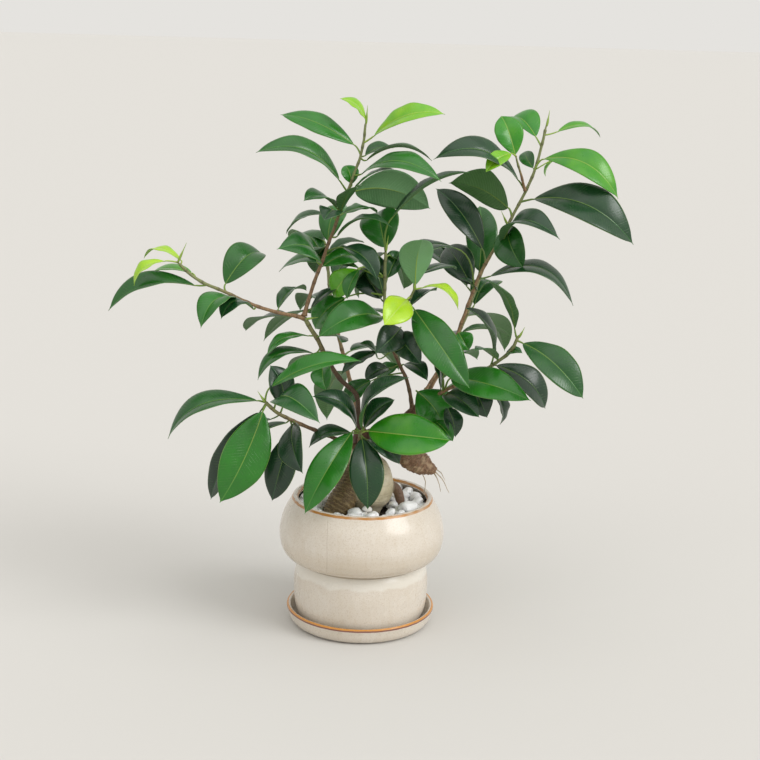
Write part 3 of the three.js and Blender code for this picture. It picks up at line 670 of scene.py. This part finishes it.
CRACK_LEFT_OF_MIDDLE = 29  # mm


def band(net, height, low, high, soft):
    """1 between two heights, fading over soft."""
    return net.math("MULTIPLY", net.step(height, low - soft, low), net.step(height, high + soft, high))


def pot_lines(net, colour, where, height):
    """Warm tone with painted shade under the bowl, pale run of glaze at the waist, painted shade in the
    groove, a fine crack, bare foot and amber lip.
    """
    # Painted shade: the bowl's downward-facing underside is tinted darker and warmer, partly its own warm
    # glaze and partly shade.
    warm = band(net, height, 62, 76, 14)
    colour = net.tint(colour, warm, 0.25, rgb(194, 176, 146))
    pale = band(net, net.wavering(height, where, 0.09, 7.0), 54.5, 64, 3)
    colour = net.tint(colour, pale, 0.75, rgb(226, 222, 212))
    # Painted shade: the dark line in the waist groove is shade painted into the glaze colour.
    groove = band(net, height, 60.0, 60.9, 0.7)
    colour = net.tint(colour, groove, 0.7, rgb(140, 118, 84))
    x, y, _ = net.node("SeparateXYZ", {0: where}).outputs
    crack_offset = net.wavering(CRACK_LEFT_OF_MIDDLE, where, 0.05, 2.0)
    crack = net.step(net.math("ABSOLUTE", net.math("ADD", x, crack_offset)), 0.45, 0.15)
    crack = net.math("MULTIPLY", crack, band(net, height, 72, 112, 6))
    crack = net.math("MULTIPLY", crack, net.step(y, -20, -30))
    colour = net.tint(colour, crack, 0.3, rgb(150, 132, 104))
    foot = net.step(height, 9, 5)
    colour = net.tint(colour, foot, 0.5, rgb(150, 122, 84))
    lip = band(net, net.wavering(height, where, 0.16, 1.0), 118.7, 120.2, 0.5)
    patchy = net.step(net.noise(where, 0.05, 1), 0.3, 0.5)
    return net.tint(colour, lip, net.math("MULTIPLY_ADD", patchy, 0.4, 0.58), rgb(176, 118, 40))


def saucer_lines(net, colour, where, height):
    """Golden rim over a dark red-brown line."""
    x, y, _ = net.node("SeparateXYZ", {0: where}).outputs
    out = net.math("SQRT", net.math("ADD", net.math("MULTIPLY", x, x), net.math("MULTIPLY", y, y)))
    wavering = net.wavering(height, where, 0.15, 0.8)
    outer = net.step(out, 65.9, 66.6)
    gold = net.math("MULTIPLY", net.step(wavering, 15.0, 15.5), outer)
    colour = net.tint(colour, gold, 0.95, rgb(196, 128, 20))
    dark = net.math("MULTIPLY", band(net, wavering, 14.1, 15.1, 0.4), outer)
    return net.tint(colour, dark, 0.9, rgb(112, 44, 22))


def marble():
    """White tumbled marble: chalky, with faint grey veins and the odd warm stain."""
    net = Net("white_marble", roughness=0.5)
    where = net.where()
    cloud = net.noise(where, 0.1, 3)
    colour = net.ramp(cloud, (0.3, rgb(240, 241, 242)), (0.5, rgb(248, 249, 250)), (0.7, rgb(252, 253, 253)))
    vein = net.math("PINGPONG", net.math("MULTIPLY", net.noise(where, 0.09, 4, 0.6), 3.0), 0.5)
    colour = net.tint(colour, net.step(vein, 0.05, 0.0), 0.35, rgb(170, 166, 160))
    stain = net.step(net.noise(where, 0.06, 2), 0.58, 0.72)
    colour = net.tint(colour, stain, 0.25, rgb(214, 190, 150))
    net.set("Base Color", colour)
    net.bump(net.noise(where, 0.9, 4, 0.65), 0.22)
    return net.material


def soil_grit():
    """Dark potting grit."""
    net = Net("soil_grit", roughness=0.95)
    where = net.where()
    grain = net.noise(where, 0.9, 4, 0.7)
    colour = net.ramp(grain, (0.3, rgb(20, 15, 12)), (0.5, rgb(46, 36, 28)), (0.72, rgb(84, 66, 50)))
    net.set("Base Color", colour)
    net.bump(grain, 0.8)
    return net.material


def net_plastic():
    """Black drain net, with its holes drawn in relief and as painted shade."""
    net = Net("net_plastic", roughness=0.6)
    # Painted shade: the holes are coloured near black for the shade seen through them.
    shaded_holes = net.step(net.cells(net.where(), 0.45), 0.4, 0.3)
    net.set("Base Color", net.mix(shaded_holes, rgb(44, 44, 46), rgb(12, 12, 12)))
    net.bump(shaded_holes, 0.5)
    return net.material


LEAF_MATERIALS = [leaf_top(), leaf_under(), leaf_stalk()]
TOP, UNDER, STALK = range(3)
BARK = bark()
MARBLE = marble()

# ---------- leaves ----------

STATIONS = 27  # along a blade
COLUMNS = np.array([-1, -0.86, -0.64, -0.4, -0.18, -0.05, 0, 0.05, 0.18, 0.4, 0.64, 0.86, 1])
BLADE_THICK = 0.42
STALK_RADIUS = 0.85
STALK_STEPS = 8
STALK_SIDES = 8
RIB_RADIUS = 0.5
RIB_END = 0.93  # share of the blade's length at which the raised midrib fades out
USUAL_WIDTH = 30  # of a blade whose stalk and midrib have the radii above
GROOVE_HALF, GROOVE_DEPTH = 0.5, 0.22  # of the midrib's groove in the upper face
MOST_SICKLE = 0.035  # sideways bend of a blade, as a share of its length
MOST_TWIST = 14  # degrees


def blade_normal(along, roll):
    """Upper-face direction: up, then rolled about the leaf's length towards the front."""
    up = np.array((0, 0, 1.0))
    up = unit(up - along * (up @ along))
    side = np.cross(along, up)
    towards_front = -math.copysign(1, side[1]) if abs(side[1]) > 0.15 else math.copysign(1, side[0])
    return up * math.cos(roll) + side * towards_front * math.sin(roll)


def blade_outline(t, fullness, shift):
    """Half width along the blade, as a share: elliptic with a drawn-out drip tip."""
    body = np.sin(np.pi * np.clip(t / 0.97, 0, 1) ** shift) ** fullness
    drip = 0.11 * np.clip((1 - t) / 0.08, 0, 1) * np.clip(t * 2 - 1, 0, 1)
    return np.maximum(body, drip)


def add_leaf(skin, route, stalk, base, tip, width, rise, roll, tone):
    """A stalk that runs on as the midrib, and a folded, arched blade."""
    dice = random.Random(f"{base}{tip}")
    root = point_on_route(route, stalk)
    stalk_share = math.dist(base, root[:2])
    stalk_share /= stalk_share + math.dist(tip[:2], base)
    start = crown_point(*root)
    foot = crown_point(*base, root[2] + (tip[2] - root[2]) * stalk_share)
    end = crown_point(*tip)
    length = np.linalg.norm(end - foot)
    along = unit(end - foot)
    normal = blade_normal(along, math.radians(roll))
    side = np.cross(normal, along)

    # Spine: stations closer together at both ends, arched, bent like a sickle and twisted.
    t = np.linspace(0, 1, STATIONS)
    t = 0.5 * t + 0.5 * (1 - np.cos(np.pi * t)) / 2
    late = dice.uniform(0.0, 0.5)
    arch = rise * 4 * t * (1 - t) * (1 + late * (t - 0.5))
    sickle = dice.uniform(-MOST_SICKLE, MOST_SICKLE) * length * 4 * t * (1 - t)
    spine = foot + (end - foot) * t[:, None] + normal * arch[:, None] + side * sickle[:, None]
    tangent = unit(np.gradient(spine, axis=0))
    lift = unit(normal - tangent * (tangent @ normal)[:, None])
    across = np.cross(lift, tangent)
    twist = math.radians(dice.uniform(-MOST_TWIST, MOST_TWIST)) * t**1.5
    across, lift = (across * np.cos(twist)[:, None] + lift * np.sin(twist)[:, None],
                    lift * np.cos(twist)[:, None] - across * np.sin(twist)[:, None])

    # Cross-sections: the halves fold up, curl over, wave at the margin and dip to the midrib.
    half = width / 2 * blade_outline(t, dice.uniform(0.62, 0.8), dice.uniform(0.98, 1.16))
    x = COLUMNS[None, :]
    rise_of_fold, curl = dice.uniform(0.28, 0.56), dice.uniform(0.14, 0.32)
    fold = half[:, None] * (rise_of_fold * np.abs(x) - curl * x**2)
    wave_start = dice.uniform(0, 6)
    wave = dice.uniform(0.25, 0.75) * np.sin(2 * math.pi * dice.uniform(2, 3.6) * t + wave_start)
    fold = fold + (wave * np.sin(np.pi * t))[:, None] * x**2 * np.where(x > 0, 1, dice.uniform(-1, 0.6))
    groove = np.exp(-((half[:, None] * x) / GROOVE_HALF) ** 2) * GROOVE_DEPTH * np.sin(np.pi * t)[:, None]
    top = spine[:, None] + across[:, None] * (half[:, None] * x)[..., None] + lift[:, None] * (
        fold - groove)[..., None]
    thick = BLADE_THICK * (1 - 0.45 * x**2)
    under = top - lift[:, None] * thick[..., None]
    rings = np.concatenate([top, under[:, ::-1]], axis=1)

    millimetres = lengths_along(spine)[:, None] * np.ones_like(x)
    place = np.stack([millimetres, half[:, None] * x, np.full_like(millimetres, tone)], -1)
    edge = np.abs(x) * np.ones_like(millimetres)
    columns = len(COLUMNS)
    slots = [TOP] * (columns - 1) + [UNDER] * (columns + 1)
    skin.shell(rings, np.concatenate([place, place[:, ::-1]], 1), np.concatenate([edge, edge[:, ::-1]], 1),
               slots, flip=True)

    # Stalk, bent into the blade's direction, then the midrib under the blade.
    bend = foot - tangent[0] * np.linalg.norm(foot - start) * 0.45
    s = np.linspace(0, 1, STALK_STEPS)[:, None]
    stalk_line = (1 - s) ** 2 * start + 2 * s * (1 - s) * bend + s**2 * foot
    kept = t < RIB_END
    rib_line = (spine - lift * (BLADE_THICK * 0.75))[kept]
    line = np.vstack([stalk_line[:-1], rib_line])
    size = (width / USUAL_WIDTH) ** 0.35
    radii = np.concatenate([np.linspace(STALK_RADIUS * 1.15, STALK_RADIUS * 0.85, STALK_STEPS - 1) * size,
                            (RIB_RADIUS * (1 - t[kept] / 0.97) ** 0.8 + 0.06) * size])
    measure = lengths_along(line)
    skin.tube(line, radii, STALK_SIDES, STALK,
              np.stack([measure, measure * 0, np.full_like(measure, tone)], -1))


def add_bud(skin, foot, tip):
    """A slender pointed sheath."""
    tone = 0.7
    start, end = crown_point(*foot), crown_point(*tip)
    line = smooth_line([start, (start + end) / 2 + (0, -0.6, 0), end], 6)
    t = np.linspace(0, 1, len(line))
    radii = BUD_RADIUS * (0.55 + 0.45 * np.sin(np.pi * np.minimum(t * 1.6, 1))) * (1 - t) ** 0.7 + 0.08
    skin.tube(line, radii, STALK_SIDES, STALK, np.stack([t * 12 + 2, t * 0, np.full_like(t, tone)], -1))


def make_foliage():
    """A piece for each leaf of CAD, two for each stem's small leaves, old and young, and one for the buds."""
    routes = {name: route for name, (_, route) in STEMS.items()}
    routes["twig_right_top"] = TWIG_RIGHT_TOP[1]
    for name, stem, stalk, base, tip, width, rise, roll, tone in LEAVES:
        skin = Skin()
        add_leaf(skin, routes[stem], stalk, base, tip, width, rise, roll, tone)
        piece = skin.build(name + "_blade", LEAF_MATERIALS)
        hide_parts(name)
    for stem, rows in SMALL_LEAVES.items():
        for slot, young in (("leaf", False), ("young_leaf", True)):
            chosen = [row for row in rows if (row[-1] > YOUNG_TONE) == young]
            if not chosen:
                continue
            skin = Skin()
            for row in chosen:
                add_leaf(skin, routes[stem], *row)
            piece = skin.build(f"foliage_{stem}_young" if young else f"foliage_{stem}", LEAF_MATERIALS)
    skin = Skin()
    for foot, tip in BUDS:
        add_bud(skin, foot, tip)
    skin.build("buds", LEAF_MATERIALS)


# ---------- stems ----------

STEM_STEP = 1.4  # mm between the rings of a stem
STEM_SIDES = 14
SLIMNESS = 0.93  # of the plain stretches against the CAD radii, which the swollen nodes make up for
NODE_SWELLING = 0.26
STEM_FLARE, TWIG_FLARE = 1.3, 0.6  # mm that the foot is wider


def add_stem(skin, radii, route, dice, flare, dark=0.0):
    """A bark tube with a swollen scar at each node and a foot that widens into its parent."""
    rough_line = smooth_line([crown_point(*point) for point in route], 12)
    length = lengths_along(rough_line)
    measure = np.linspace(0, length[-1], max(int(length[-1] / STEM_STEP), 6))
    line = np.stack([np.interp(measure, length, rough_line[:, k]) for k in range(3)], -1)
    share = measure / measure[-1]
    radius = (radii[0] + (radii[1] - radii[0]) * share) * SLIMNESS
    scar = np.zeros_like(measure)
    spot = dice.uniform(6, 12)
    while spot < measure[-1] - 4:
        scar += np.exp(-((measure - spot) / 0.9) ** 2)
        radius = radius + NODE_SWELLING * np.exp(-((measure - spot - 0.8) / 2.2) ** 2)
        spot += dice.uniform(9, 19)
    radius = radius + flare * np.exp(-measure / 3.5)
    radius = radius * np.where(share > 0.985, 0.6, 1)
    angle = np.linspace(0, 2 * math.pi, STEM_SIDES, endpoint=False)
    ridges = np.array([[1 + 0.07 * noise.noise(Vector((math.cos(a) * 1.2, math.sin(a) * 1.2, m * 0.16)))
                        for a in angle] for m in measure])
    wobble = np.array([[noise.noise(Vector((m * 0.07, k * 9.1, radii[0]))) * 0.5 for k in range(3)]
                       for m in measure]) * np.minimum(measure, 12)[:, None] / 12
    youth = share * (1.1 if radii[1] < 1.6 else 0.8)
    shade = dark * np.clip(1.5 - 1.3 * share, 0, 1)
    skin.tube(line + wobble, radius, STEM_SIDES, 0, np.stack([shade, youth, np.clip(scar, 0, 1)], -1),
              shape=ridges)


def make_stems():
    """A bark piece for each stem of CAD. The right one also has the thin shoot."""
    for index, (name, (radii, route)) in enumerate(STEMS.items()):
        skin = Skin()
        add_stem(skin, radii, route, random.Random(index), STEM_FLARE, DARK_STEMS.get(name, 0))
        if name == "stem_right":
            add_stem(skin, *TWIG_RIGHT_TOP, random.Random(77), TWIG_FLARE)
        piece = skin.build(name + "_bark", [BARK])
        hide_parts(name)


# ---------- caudex ----------

VOXEL = 0.85  # mm of the remesh that grows the limbs together
SMOOTHING_ROUNDS = 5
LIMB_SIDES = 32
BLENDING = 0.8  # mm over which one limb's skin turns into the next one's
HAIR_RADII = (0.6, 0.22)
HAIR_SIDES = 7
HAIR_PLACE = (0.0, 0.25, 0.25)  # a hair root's share of leg, tuber and bark


def add_limb(skin, limb):
    """A plain tube of one limb, whose samples also tell each point of the skin what it belongs to."""
    line = smooth_line([crown_point(*point[:3]) for point in limb], 10)
    stations = np.linspace(0, len(limb) - 1, len(line))
    radii = np.interp(stations, range(len(limb)), [point[3] for point in limb])
    skin.tube(line, radii, LIMB_SIDES, 0, line * 0)
    return line, radii, lengths_along(line)


def vertex_vectors(mesh, kind):
    """One vector of each vertex: co for its place or normal for its normal."""
    values = np.empty(len(mesh.vertices) * 3, np.float32)
    mesh.vertices.foreach_get(kind, values)
    return values.reshape(-1, 3).astype(float)


def remeshed(piece):
    """The piece after a voxel remesh and smoothing: its points in millimetres, its normals and its faces."""
    remesh = piece.modifiers.new("remesh", "REMESH")
    remesh.mode = "VOXEL"
    remesh.voxel_size = VOXEL * MM
    smooth = piece.modifiers.new("smooth", "SMOOTH")
    smooth.factor = 0.5
    smooth.iterations = SMOOTHING_ROUNDS
    mesh = piece.evaluated_get(bpy.context.evaluated_depsgraph_get()).to_mesh()
    points, normals = vertex_vectors(mesh, "co") / MM, vertex_vectors(mesh, "normal")
    faces = [tuple(polygon.vertices) for polygon in mesh.polygons]
    piece.to_mesh_clear()
    return points, normals, faces


def noise_at(points, scale, offset=0.0):
    """Smooth noise at each point. The offset picks another stretch of it."""
    shift = Vector((offset, offset, offset))
    return np.array([noise.noise(Vector(point) * scale + shift) for point in points])


def climb(values, start, run):
    """0 up to start, then rising to 1 over run. A run below 0 rises the other way."""
    return np.clip((values - start) / run, 0, 1)


def make_caudex():
    """The limbs grown into one skin, with each limb's own colour and relief, and the hair roots."""
    limbs = {"bulb": BULB, "leg": LEG, "tuber": TUBER, "riser": RISER, "root": SHORT_ROOT}
    rough = Skin()
    samples = {kind: add_limb(rough, limb) for kind, limb in limbs.items()}
    rough_piece = rough.build("caudex_rough", [], ride=False)
    points, normals, faces = remeshed(rough_piece)
    bpy.data.objects.remove(rough_piece)

    gaps, axials = {}, {}
    for kind, (line, radii, measure) in samples.items():
        reach = np.linalg.norm(points[:, None] - line[None], axis=2) - radii[None]
        nearest = reach.argmin(axis=1)
        gaps[kind] = reach[np.arange(len(points)), nearest]
        axials[kind] = measure[nearest]
    weights = {kind: np.exp(-np.clip(gap, -2, 12) / BLENDING) for kind, gap in gaps.items()}
    total = sum(weights.values())
    leg, tuber, root, riser = (weights[kind] / total for kind in ("leg", "tuber", "root", "riser"))
    axial = sum(axials[kind] * weights[kind] for kind in weights) / total
    x, _, z = points.T
    # The arm that leads to the tuber keeps the crown's pale skin and turns brown on the way out.
    tuber = tuber * climb(x, 8, 14)
    # The short root, the bulb's collar and the riser's upper end have the stems' dark bark.
    root = np.maximum.reduce([root * 0.9, climb(z, 160, 8) * climb(x, 12, -8), riser * climb(z, 184, 14)])

    broad = noise_at(points, 0.07)
    lumps = noise_at(points, 0.2, 5.0)
    grit = noise_at(points, 0.8, 9.0)
    wrinkles = np.sin(axial * 2 * math.pi / RING_SPACING + 5 * broad + 1.5 * lumps)
    pimples = np.clip(noise_at(points, 0.34, 21.0) - 0.28, 0, 1) * 3.2
    relief = (0.9 * broad + 0.35 * lumps + 0.07 * grit
              + leg * (0.34 * wrinkles + 0.15 * grit)
              + tuber * (0.26 * wrinkles + 0.5 * lumps + 0.14 * grit + pimples * 0.8)
              + (1 - leg - tuber) * 0.06 * wrinkles)
    points = points + normals * relief[:, None]

    skin = Skin()
    skin.body(points, faces, np.stack([leg, tuber, root], -1), axial)
    for route in HAIR_ROOTS:
        line = smooth_line([crown_point(*point) for point in route], 8)
        line[:, :2] += [[0.5 * noise.noise(Vector((z * 0.3, k * 5.0, line[0][0]))) for k in range(2)]
                        for z in line[:, 2]]
        skin.tube(line, np.linspace(*HAIR_RADII, len(line)), HAIR_SIDES, 0,
                  np.tile(HAIR_PLACE, (len(line), 1)), edge=1.0)
    piece = skin.build("caudex_grown", [caudex_skin()])
    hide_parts("caudex")


# ---------- pot and saucer ----------

# Outlines as (radius, height).
POT_BOTTOM = 4.55
POT_OUTSIDE = [(52, POT_BOTTOM), (57, 7), (60, 15), (61.6, 30), (61.6, 42), (60, 53), (57.8, 58.5),
               (57, 60.5), (60, 62.2), (67, 65), (71, 69), (73.6, 74.5), (75, 81.5), (75.2, 89), (71.8, 104),
               (66, 115)]
POT_LIP = [(64.2, 118.5), (63.3, 119.9), (61.2, 120.4), (59.2, 119.5), (58.4, 117.4)]
POT_WALL = 5.5
POT_FLOOR_TOP = 15
POT_FLOOR = [(54.5, 21), (48.5, POT_FLOOR_TOP), (7, POT_FLOOR_TOP), (7, POT_BOTTOM)]
SAUCER_OUTLINE = [(0, 0), (58, 0), (62.5, 1.6), (65.4, 5.2), (67, 10.4), (68, 14.6), (67.3, 16), (64.8, 15.4),
                  (63.6, 12.6), (61.8, 8.4), (58.5, 5.4), (52, 4.2), (0, 4.2)]
TURN_STEPS = 144


def turned(name, outline, material, per_span, closed):
    """A thrown clay body: its outline turned round the axis, with a hand's slight unevenness.

    A closed outline comes back to its start, and an open one starts and ends on the axis.
    """
    profile = smooth_line([(r, 0, z) for r, z in outline], per_span)[:, [0, 2]]
    profile[:, 0] = np.maximum(profile[:, 0], 0.01)
    angle = np.linspace(0, 2 * math.pi, TURN_STEPS, endpoint=False)
    radius, height = profile[:, 0][:, None], profile[:, 1][:, None]
    uneven = 1 + 0.0022 * np.sin(2 * angle + 0.7) + 0.0014 * np.sin(3 * angle + height * 0.05)
    throwing = 0.03 * np.sin(height * 0.95 + 0.6 * np.sin(angle)) * (radius > 30)
    r = radius * uneven + throwing
    rings = np.stack([r * np.cos(angle), r * np.sin(angle), height + 0 * r], -1)
    if closed:
        rings = np.concatenate([rings, rings[:1]])
    skin = Skin()
    skin.shell(rings, rings * 0, np.zeros(rings.shape[:2]), [0] * TURN_STEPS, caps=not closed)
    piece = skin.build(name, [material])
    if closed:
        weld(piece)
    return piece


def weld(piece):
    """Joins the points that lie on each other."""
    work = bmesh.new()
    work.from_mesh(piece.data)
    bmesh.ops.remove_doubles(work, verts=work.verts, dist=1e-6)
    work.to_mesh(piece.data)
    work.free()


def make_pot():
    """The pot, whose inside keeps the wall's thickness, and its saucer."""
    inside = [(radius - POT_WALL, height) for radius, height in POT_OUTSIDE if height > POT_FLOOR_TOP][::-1]
    outline = [*POT_OUTSIDE, *POT_LIP, *inside, *POT_FLOOR, POT_OUTSIDE[0]]
    piece = turned("pot_glazed", outline, glaze("pot_glaze", pot_lines), 6, closed=True)
    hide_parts("pot")
    piece = turned("saucer_glazed", SAUCER_OUTLINE, glaze("saucer_glaze", saucer_lines), 5, closed=False)
    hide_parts("saucer")


# ---------- soil and pebbles ----------

SOIL_LEVEL = 104.5
SOIL_RADIUS = 58
PEBBLE_REACH = 63  # mm from the axis that a pebble's far side may reach
BARE_SOIL = (19, -21, 7)  # x, y and radius of the patch of soil that no pebble covers
ROOM = [(5, -1, 16.5), (-22, -22, 11.5), (35, 0, 3.5), (19, -21, 6)]  # kept free for bulb, leg, root and soil
SMALLEST_PEBBLE = 4.2
PEBBLE_LAYERS = ((106.4, 7.4, 900), (109.6, 6.0, 700), (112.6, 8.2, 1500))  # level, largest stone, tries
LARGE_PEBBLES = [
    # name, centre, half sizes, turn in degrees
    ("pebble_egg", (42, -19, 114.8), (10, 7.6, 6.9), 20),
    ("pebble_front", (-7, -44, 112.6), (8.4, 6.4, 5), -15),
    ("pebble_left", (-48, 2, 112.2), (7.6, 6, 4.8), 70),
    ("pebble_back", (20, 44, 112.8), (8.2, 6.2, 5.2), 10),
]


def ball(level):
    """Points and faces of a unit sphere of triangles."""
    work = bmesh.new()
    bmesh.ops.create_icosphere(work, subdivisions=level, radius=1.0)
    points = np.array([vert.co[:] for vert in work.verts])
    faces = [[vert.index for vert in face.verts] for face in work.faces]
    work.free()
    return points, faces


def add_stone(skin, shape, centre, half, turn, seed):
    """A tumbled stone: a ball pressed flat on some sides, bulged and turned."""
    points, faces = shape
    dice = np.random.default_rng(seed)
    stone = points.copy()
    for facet in unit(dice.normal(size=(6, 3))):
        out = stone @ facet
        stone -= np.outer(np.clip(out - dice.uniform(0.7, 0.88), 0, 1) * 0.8, facet)
    bulge = np.array([noise.noise(Vector(point * 1.4) + Vector((seed, 0, 0))) for point in stone])
    stone = stone * (1 + 0.13 * bulge[:, None]) * np.array(half)
    stone = stone @ np.array(turn.to_matrix()).T + np.array(centre)
    skin.body(stone, faces, stone * 0, np.zeros(len(stone)))


def free_spot(x, y, reach, taken):
    """True if a stone of this reach fits between the roots, the wall and the stones laid so far."""
    if math.hypot(x, y) > PEBBLE_REACH - reach:
        return False
    if any(math.dist((x, y), spot[:2]) < spot[2] + reach * 0.8 for spot in ROOM):
        return False
    return all(math.dist((x, y), other[:2]) > (other[2] + reach) * 0.86 for other in taken)


def make_pebbles():
    """The four large pebbles of CAD, and the bed's small ones laid one by one where there is room."""
    dice = random.Random(11)
    shape = ball(4)
    for index, (name, centre, half, degrees) in enumerate(LARGE_PEBBLES):
        skin = Skin()
        turn = Matrix.Rotation(math.radians(degrees), 3, "Z")
        add_stone(skin, shape, centre, half, turn.to_quaternion(), index)
        piece = skin.build(name + "_marble", [MARBLE])
        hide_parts(name)
    skin = Skin()
    shape = ball(3)
    laid = 0
    for level, largest, tries in PEBBLE_LAYERS:
        taken = [(centre[0], centre[1], half[0] * 0.8) for _, centre, half, _ in LARGE_PEBBLES]
        for _ in range(tries):
            size = dice.uniform(SMALLEST_PEBBLE, largest)
            angle, out = dice.uniform(0, 2 * math.pi), PEBBLE_REACH * math.sqrt(dice.random())
            x, y = out * math.cos(angle), out * math.sin(angle)
            if not free_spot(x, y, size, taken):
                continue
            taken.append((x, y, size))
            half = (size, size * dice.uniform(0.72, 0.92), size * dice.uniform(0.55, 0.78))
            turn = Matrix.Rotation(dice.uniform(0, 6.3), 3, "Z") @ Matrix.Rotation(
                dice.uniform(-0.45, 0.45), 3, "X") @ Matrix.Rotation(dice.uniform(-0.45, 0.45), 3, "Y")
            centre = (x, y, level + dice.uniform(-0.8, 1.2) + 0.3 * half[2])
            add_stone(skin, shape, centre, half, turn.to_quaternion(), 100 + laid)
            laid += 1
    piece = skin.build("pebbles_loose", [MARBLE])
    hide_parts("pebble_bed")


SOIL_RINGS, SOIL_SIDES = 46, 110
SOIL_WALL = ((0.01, 16.4), (47, 16.4), (54, 24), (55.5, 42), (50.8, 60), (66, 75), (68.6, 86), (66, 100))
MOUND_HEIGHT = 5.5


def make_soil():
    """The soil inside the pot, with a gritty top that rises to the patch without pebbles."""
    rings, sides = SOIL_RINGS, SOIL_SIDES
    angle = np.linspace(0, 2 * math.pi, sides, endpoint=False)
    radius = np.linspace(0.01, SOIL_RADIUS, rings)[::-1]
    x, y = radius[:, None] * np.cos(angle), radius[:, None] * np.sin(angle)
    patch_x, patch_y, patch_radius = BARE_SOIL
    away = np.hypot(x - patch_x, y - patch_y)
    mound = MOUND_HEIGHT * np.exp(-(away / (patch_radius * 1.3)) ** 2)
    top = np.array([[SOIL_LEVEL + mound[i, j] + 1.1 * noise.noise(Vector((x[i, j], y[i, j], 0)) * 0.55)
                     + 0.5 * noise.noise(Vector((x[i, j], y[i, j], 7)) * 1.6)
                     for j in range(sides)] for i in range(rings)])
    wall = []
    for r, z in SOIL_WALL:
        wall.append(np.stack([r * np.cos(angle), r * np.sin(angle), np.full(sides, float(z))], -1))
    shell = np.concatenate([np.array(wall), np.stack([x, y, top], -1)])
    skin = Skin()
    skin.shell(shell, shell * 0, np.zeros(shell.shape[:2]), [0] * sides)
    piece = skin.build("soil_bed", [soil_grit()])
    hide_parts("soil")


# ---------- camera, floor and light ----------

# Metres here, and angles in radians.
CAMERA_AT = (0, -EYE_DISTANCE * MM, EYE_HEIGHT * MM)
CAMERA_LENS = 71.05
CAMERA_DOWN, CAMERA_YAW, CAMERA_ROLL = (math.radians(angle) for angle in (13.69, 0.57, 1.56))
FLOOR_SIZE = 60.0
AIM = Vector((0.0, 0.0, 0.22))  # where every light points
WALL_COLOUR, FLOOR_COLOUR = rgb(229, 227, 223), rgb(206, 204, 200)


def make_camera():
    """A camera at the eye from which the crown's elevation is drawn."""
    forward = Vector((math.sin(CAMERA_YAW) * math.cos(CAMERA_DOWN),
                      math.cos(CAMERA_YAW) * math.cos(CAMERA_DOWN), -math.sin(CAMERA_DOWN)))
    level = forward.cross(Vector((0, 0, 1))).normalized()
    up = level.cross(forward)
    right = level * math.cos(CAMERA_ROLL) + up * math.sin(CAMERA_ROLL)
    top = up * math.cos(CAMERA_ROLL) - level * math.sin(CAMERA_ROLL)
    data = bpy.data.cameras.new("camera")
    data.lens = CAMERA_LENS
    data.sensor_width = 36
    data.clip_end = 100
    camera = new_object("camera", data)
    camera.matrix_world = Matrix((right, top, -forward)).transposed().to_4x4()
    camera.location = CAMERA_AT
    bpy.context.scene.camera = camera


def make_sun(name, place, spread, strength):
    """Even soft light from the side of place. spread is the width of its source, in degrees."""
    data = bpy.data.lights.new(name, "SUN")
    data.angle = math.radians(spread)
    data.energy = strength
    light = new_object(name, data)
    light.location = place
    light.rotation_euler = (AIM - Vector(place)).to_track_quat("-Z", "Y").to_euler()


def make_stage():
    """A plain pale floor in an evenly bright room."""
    net = Net("floor_paper", roughness=0.9, Specular_IOR_Level=0.1)
    net.set("Base Color", FLOOR_COLOUR)
    half = FLOOR_SIZE / 2
    corners = [(-half, -half, 0), (half, -half, 0), (half, half, 0), (-half, half, 0)]
    mesh = bpy.data.meshes.new("floor")
    mesh.from_pydata(corners, [], [(0, 1, 2, 3)])
    mesh.materials.append(net.material)
    floor = new_object("floor", mesh)
    world = bpy.data.worlds.new("pale_room")
    world.use_nodes = True
    background = world.node_tree.nodes["Background"]
    background.inputs["Color"].default_value = WALL_COLOUR
    background.inputs["Strength"].default_value = 1.0
    bpy.context.scene.world = world
    bpy.context.scene.view_settings.view_transform = "Standard"


make_camera()
make_stage()
make_sun("window", (1.8, -1.0, 1.7), 32, 1.45)
make_sun("side_window", (-1.1, -1.2, 1.5), 30, 0.15)
make_sun("ceiling", (0.1, -0.5, 2.0), 60, 0.6)
make_pot()
make_soil()
make_pebbles()
make_caudex()
make_stems()
make_foliage()

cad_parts["drain_net"].material_slots[0].material = net_plastic()
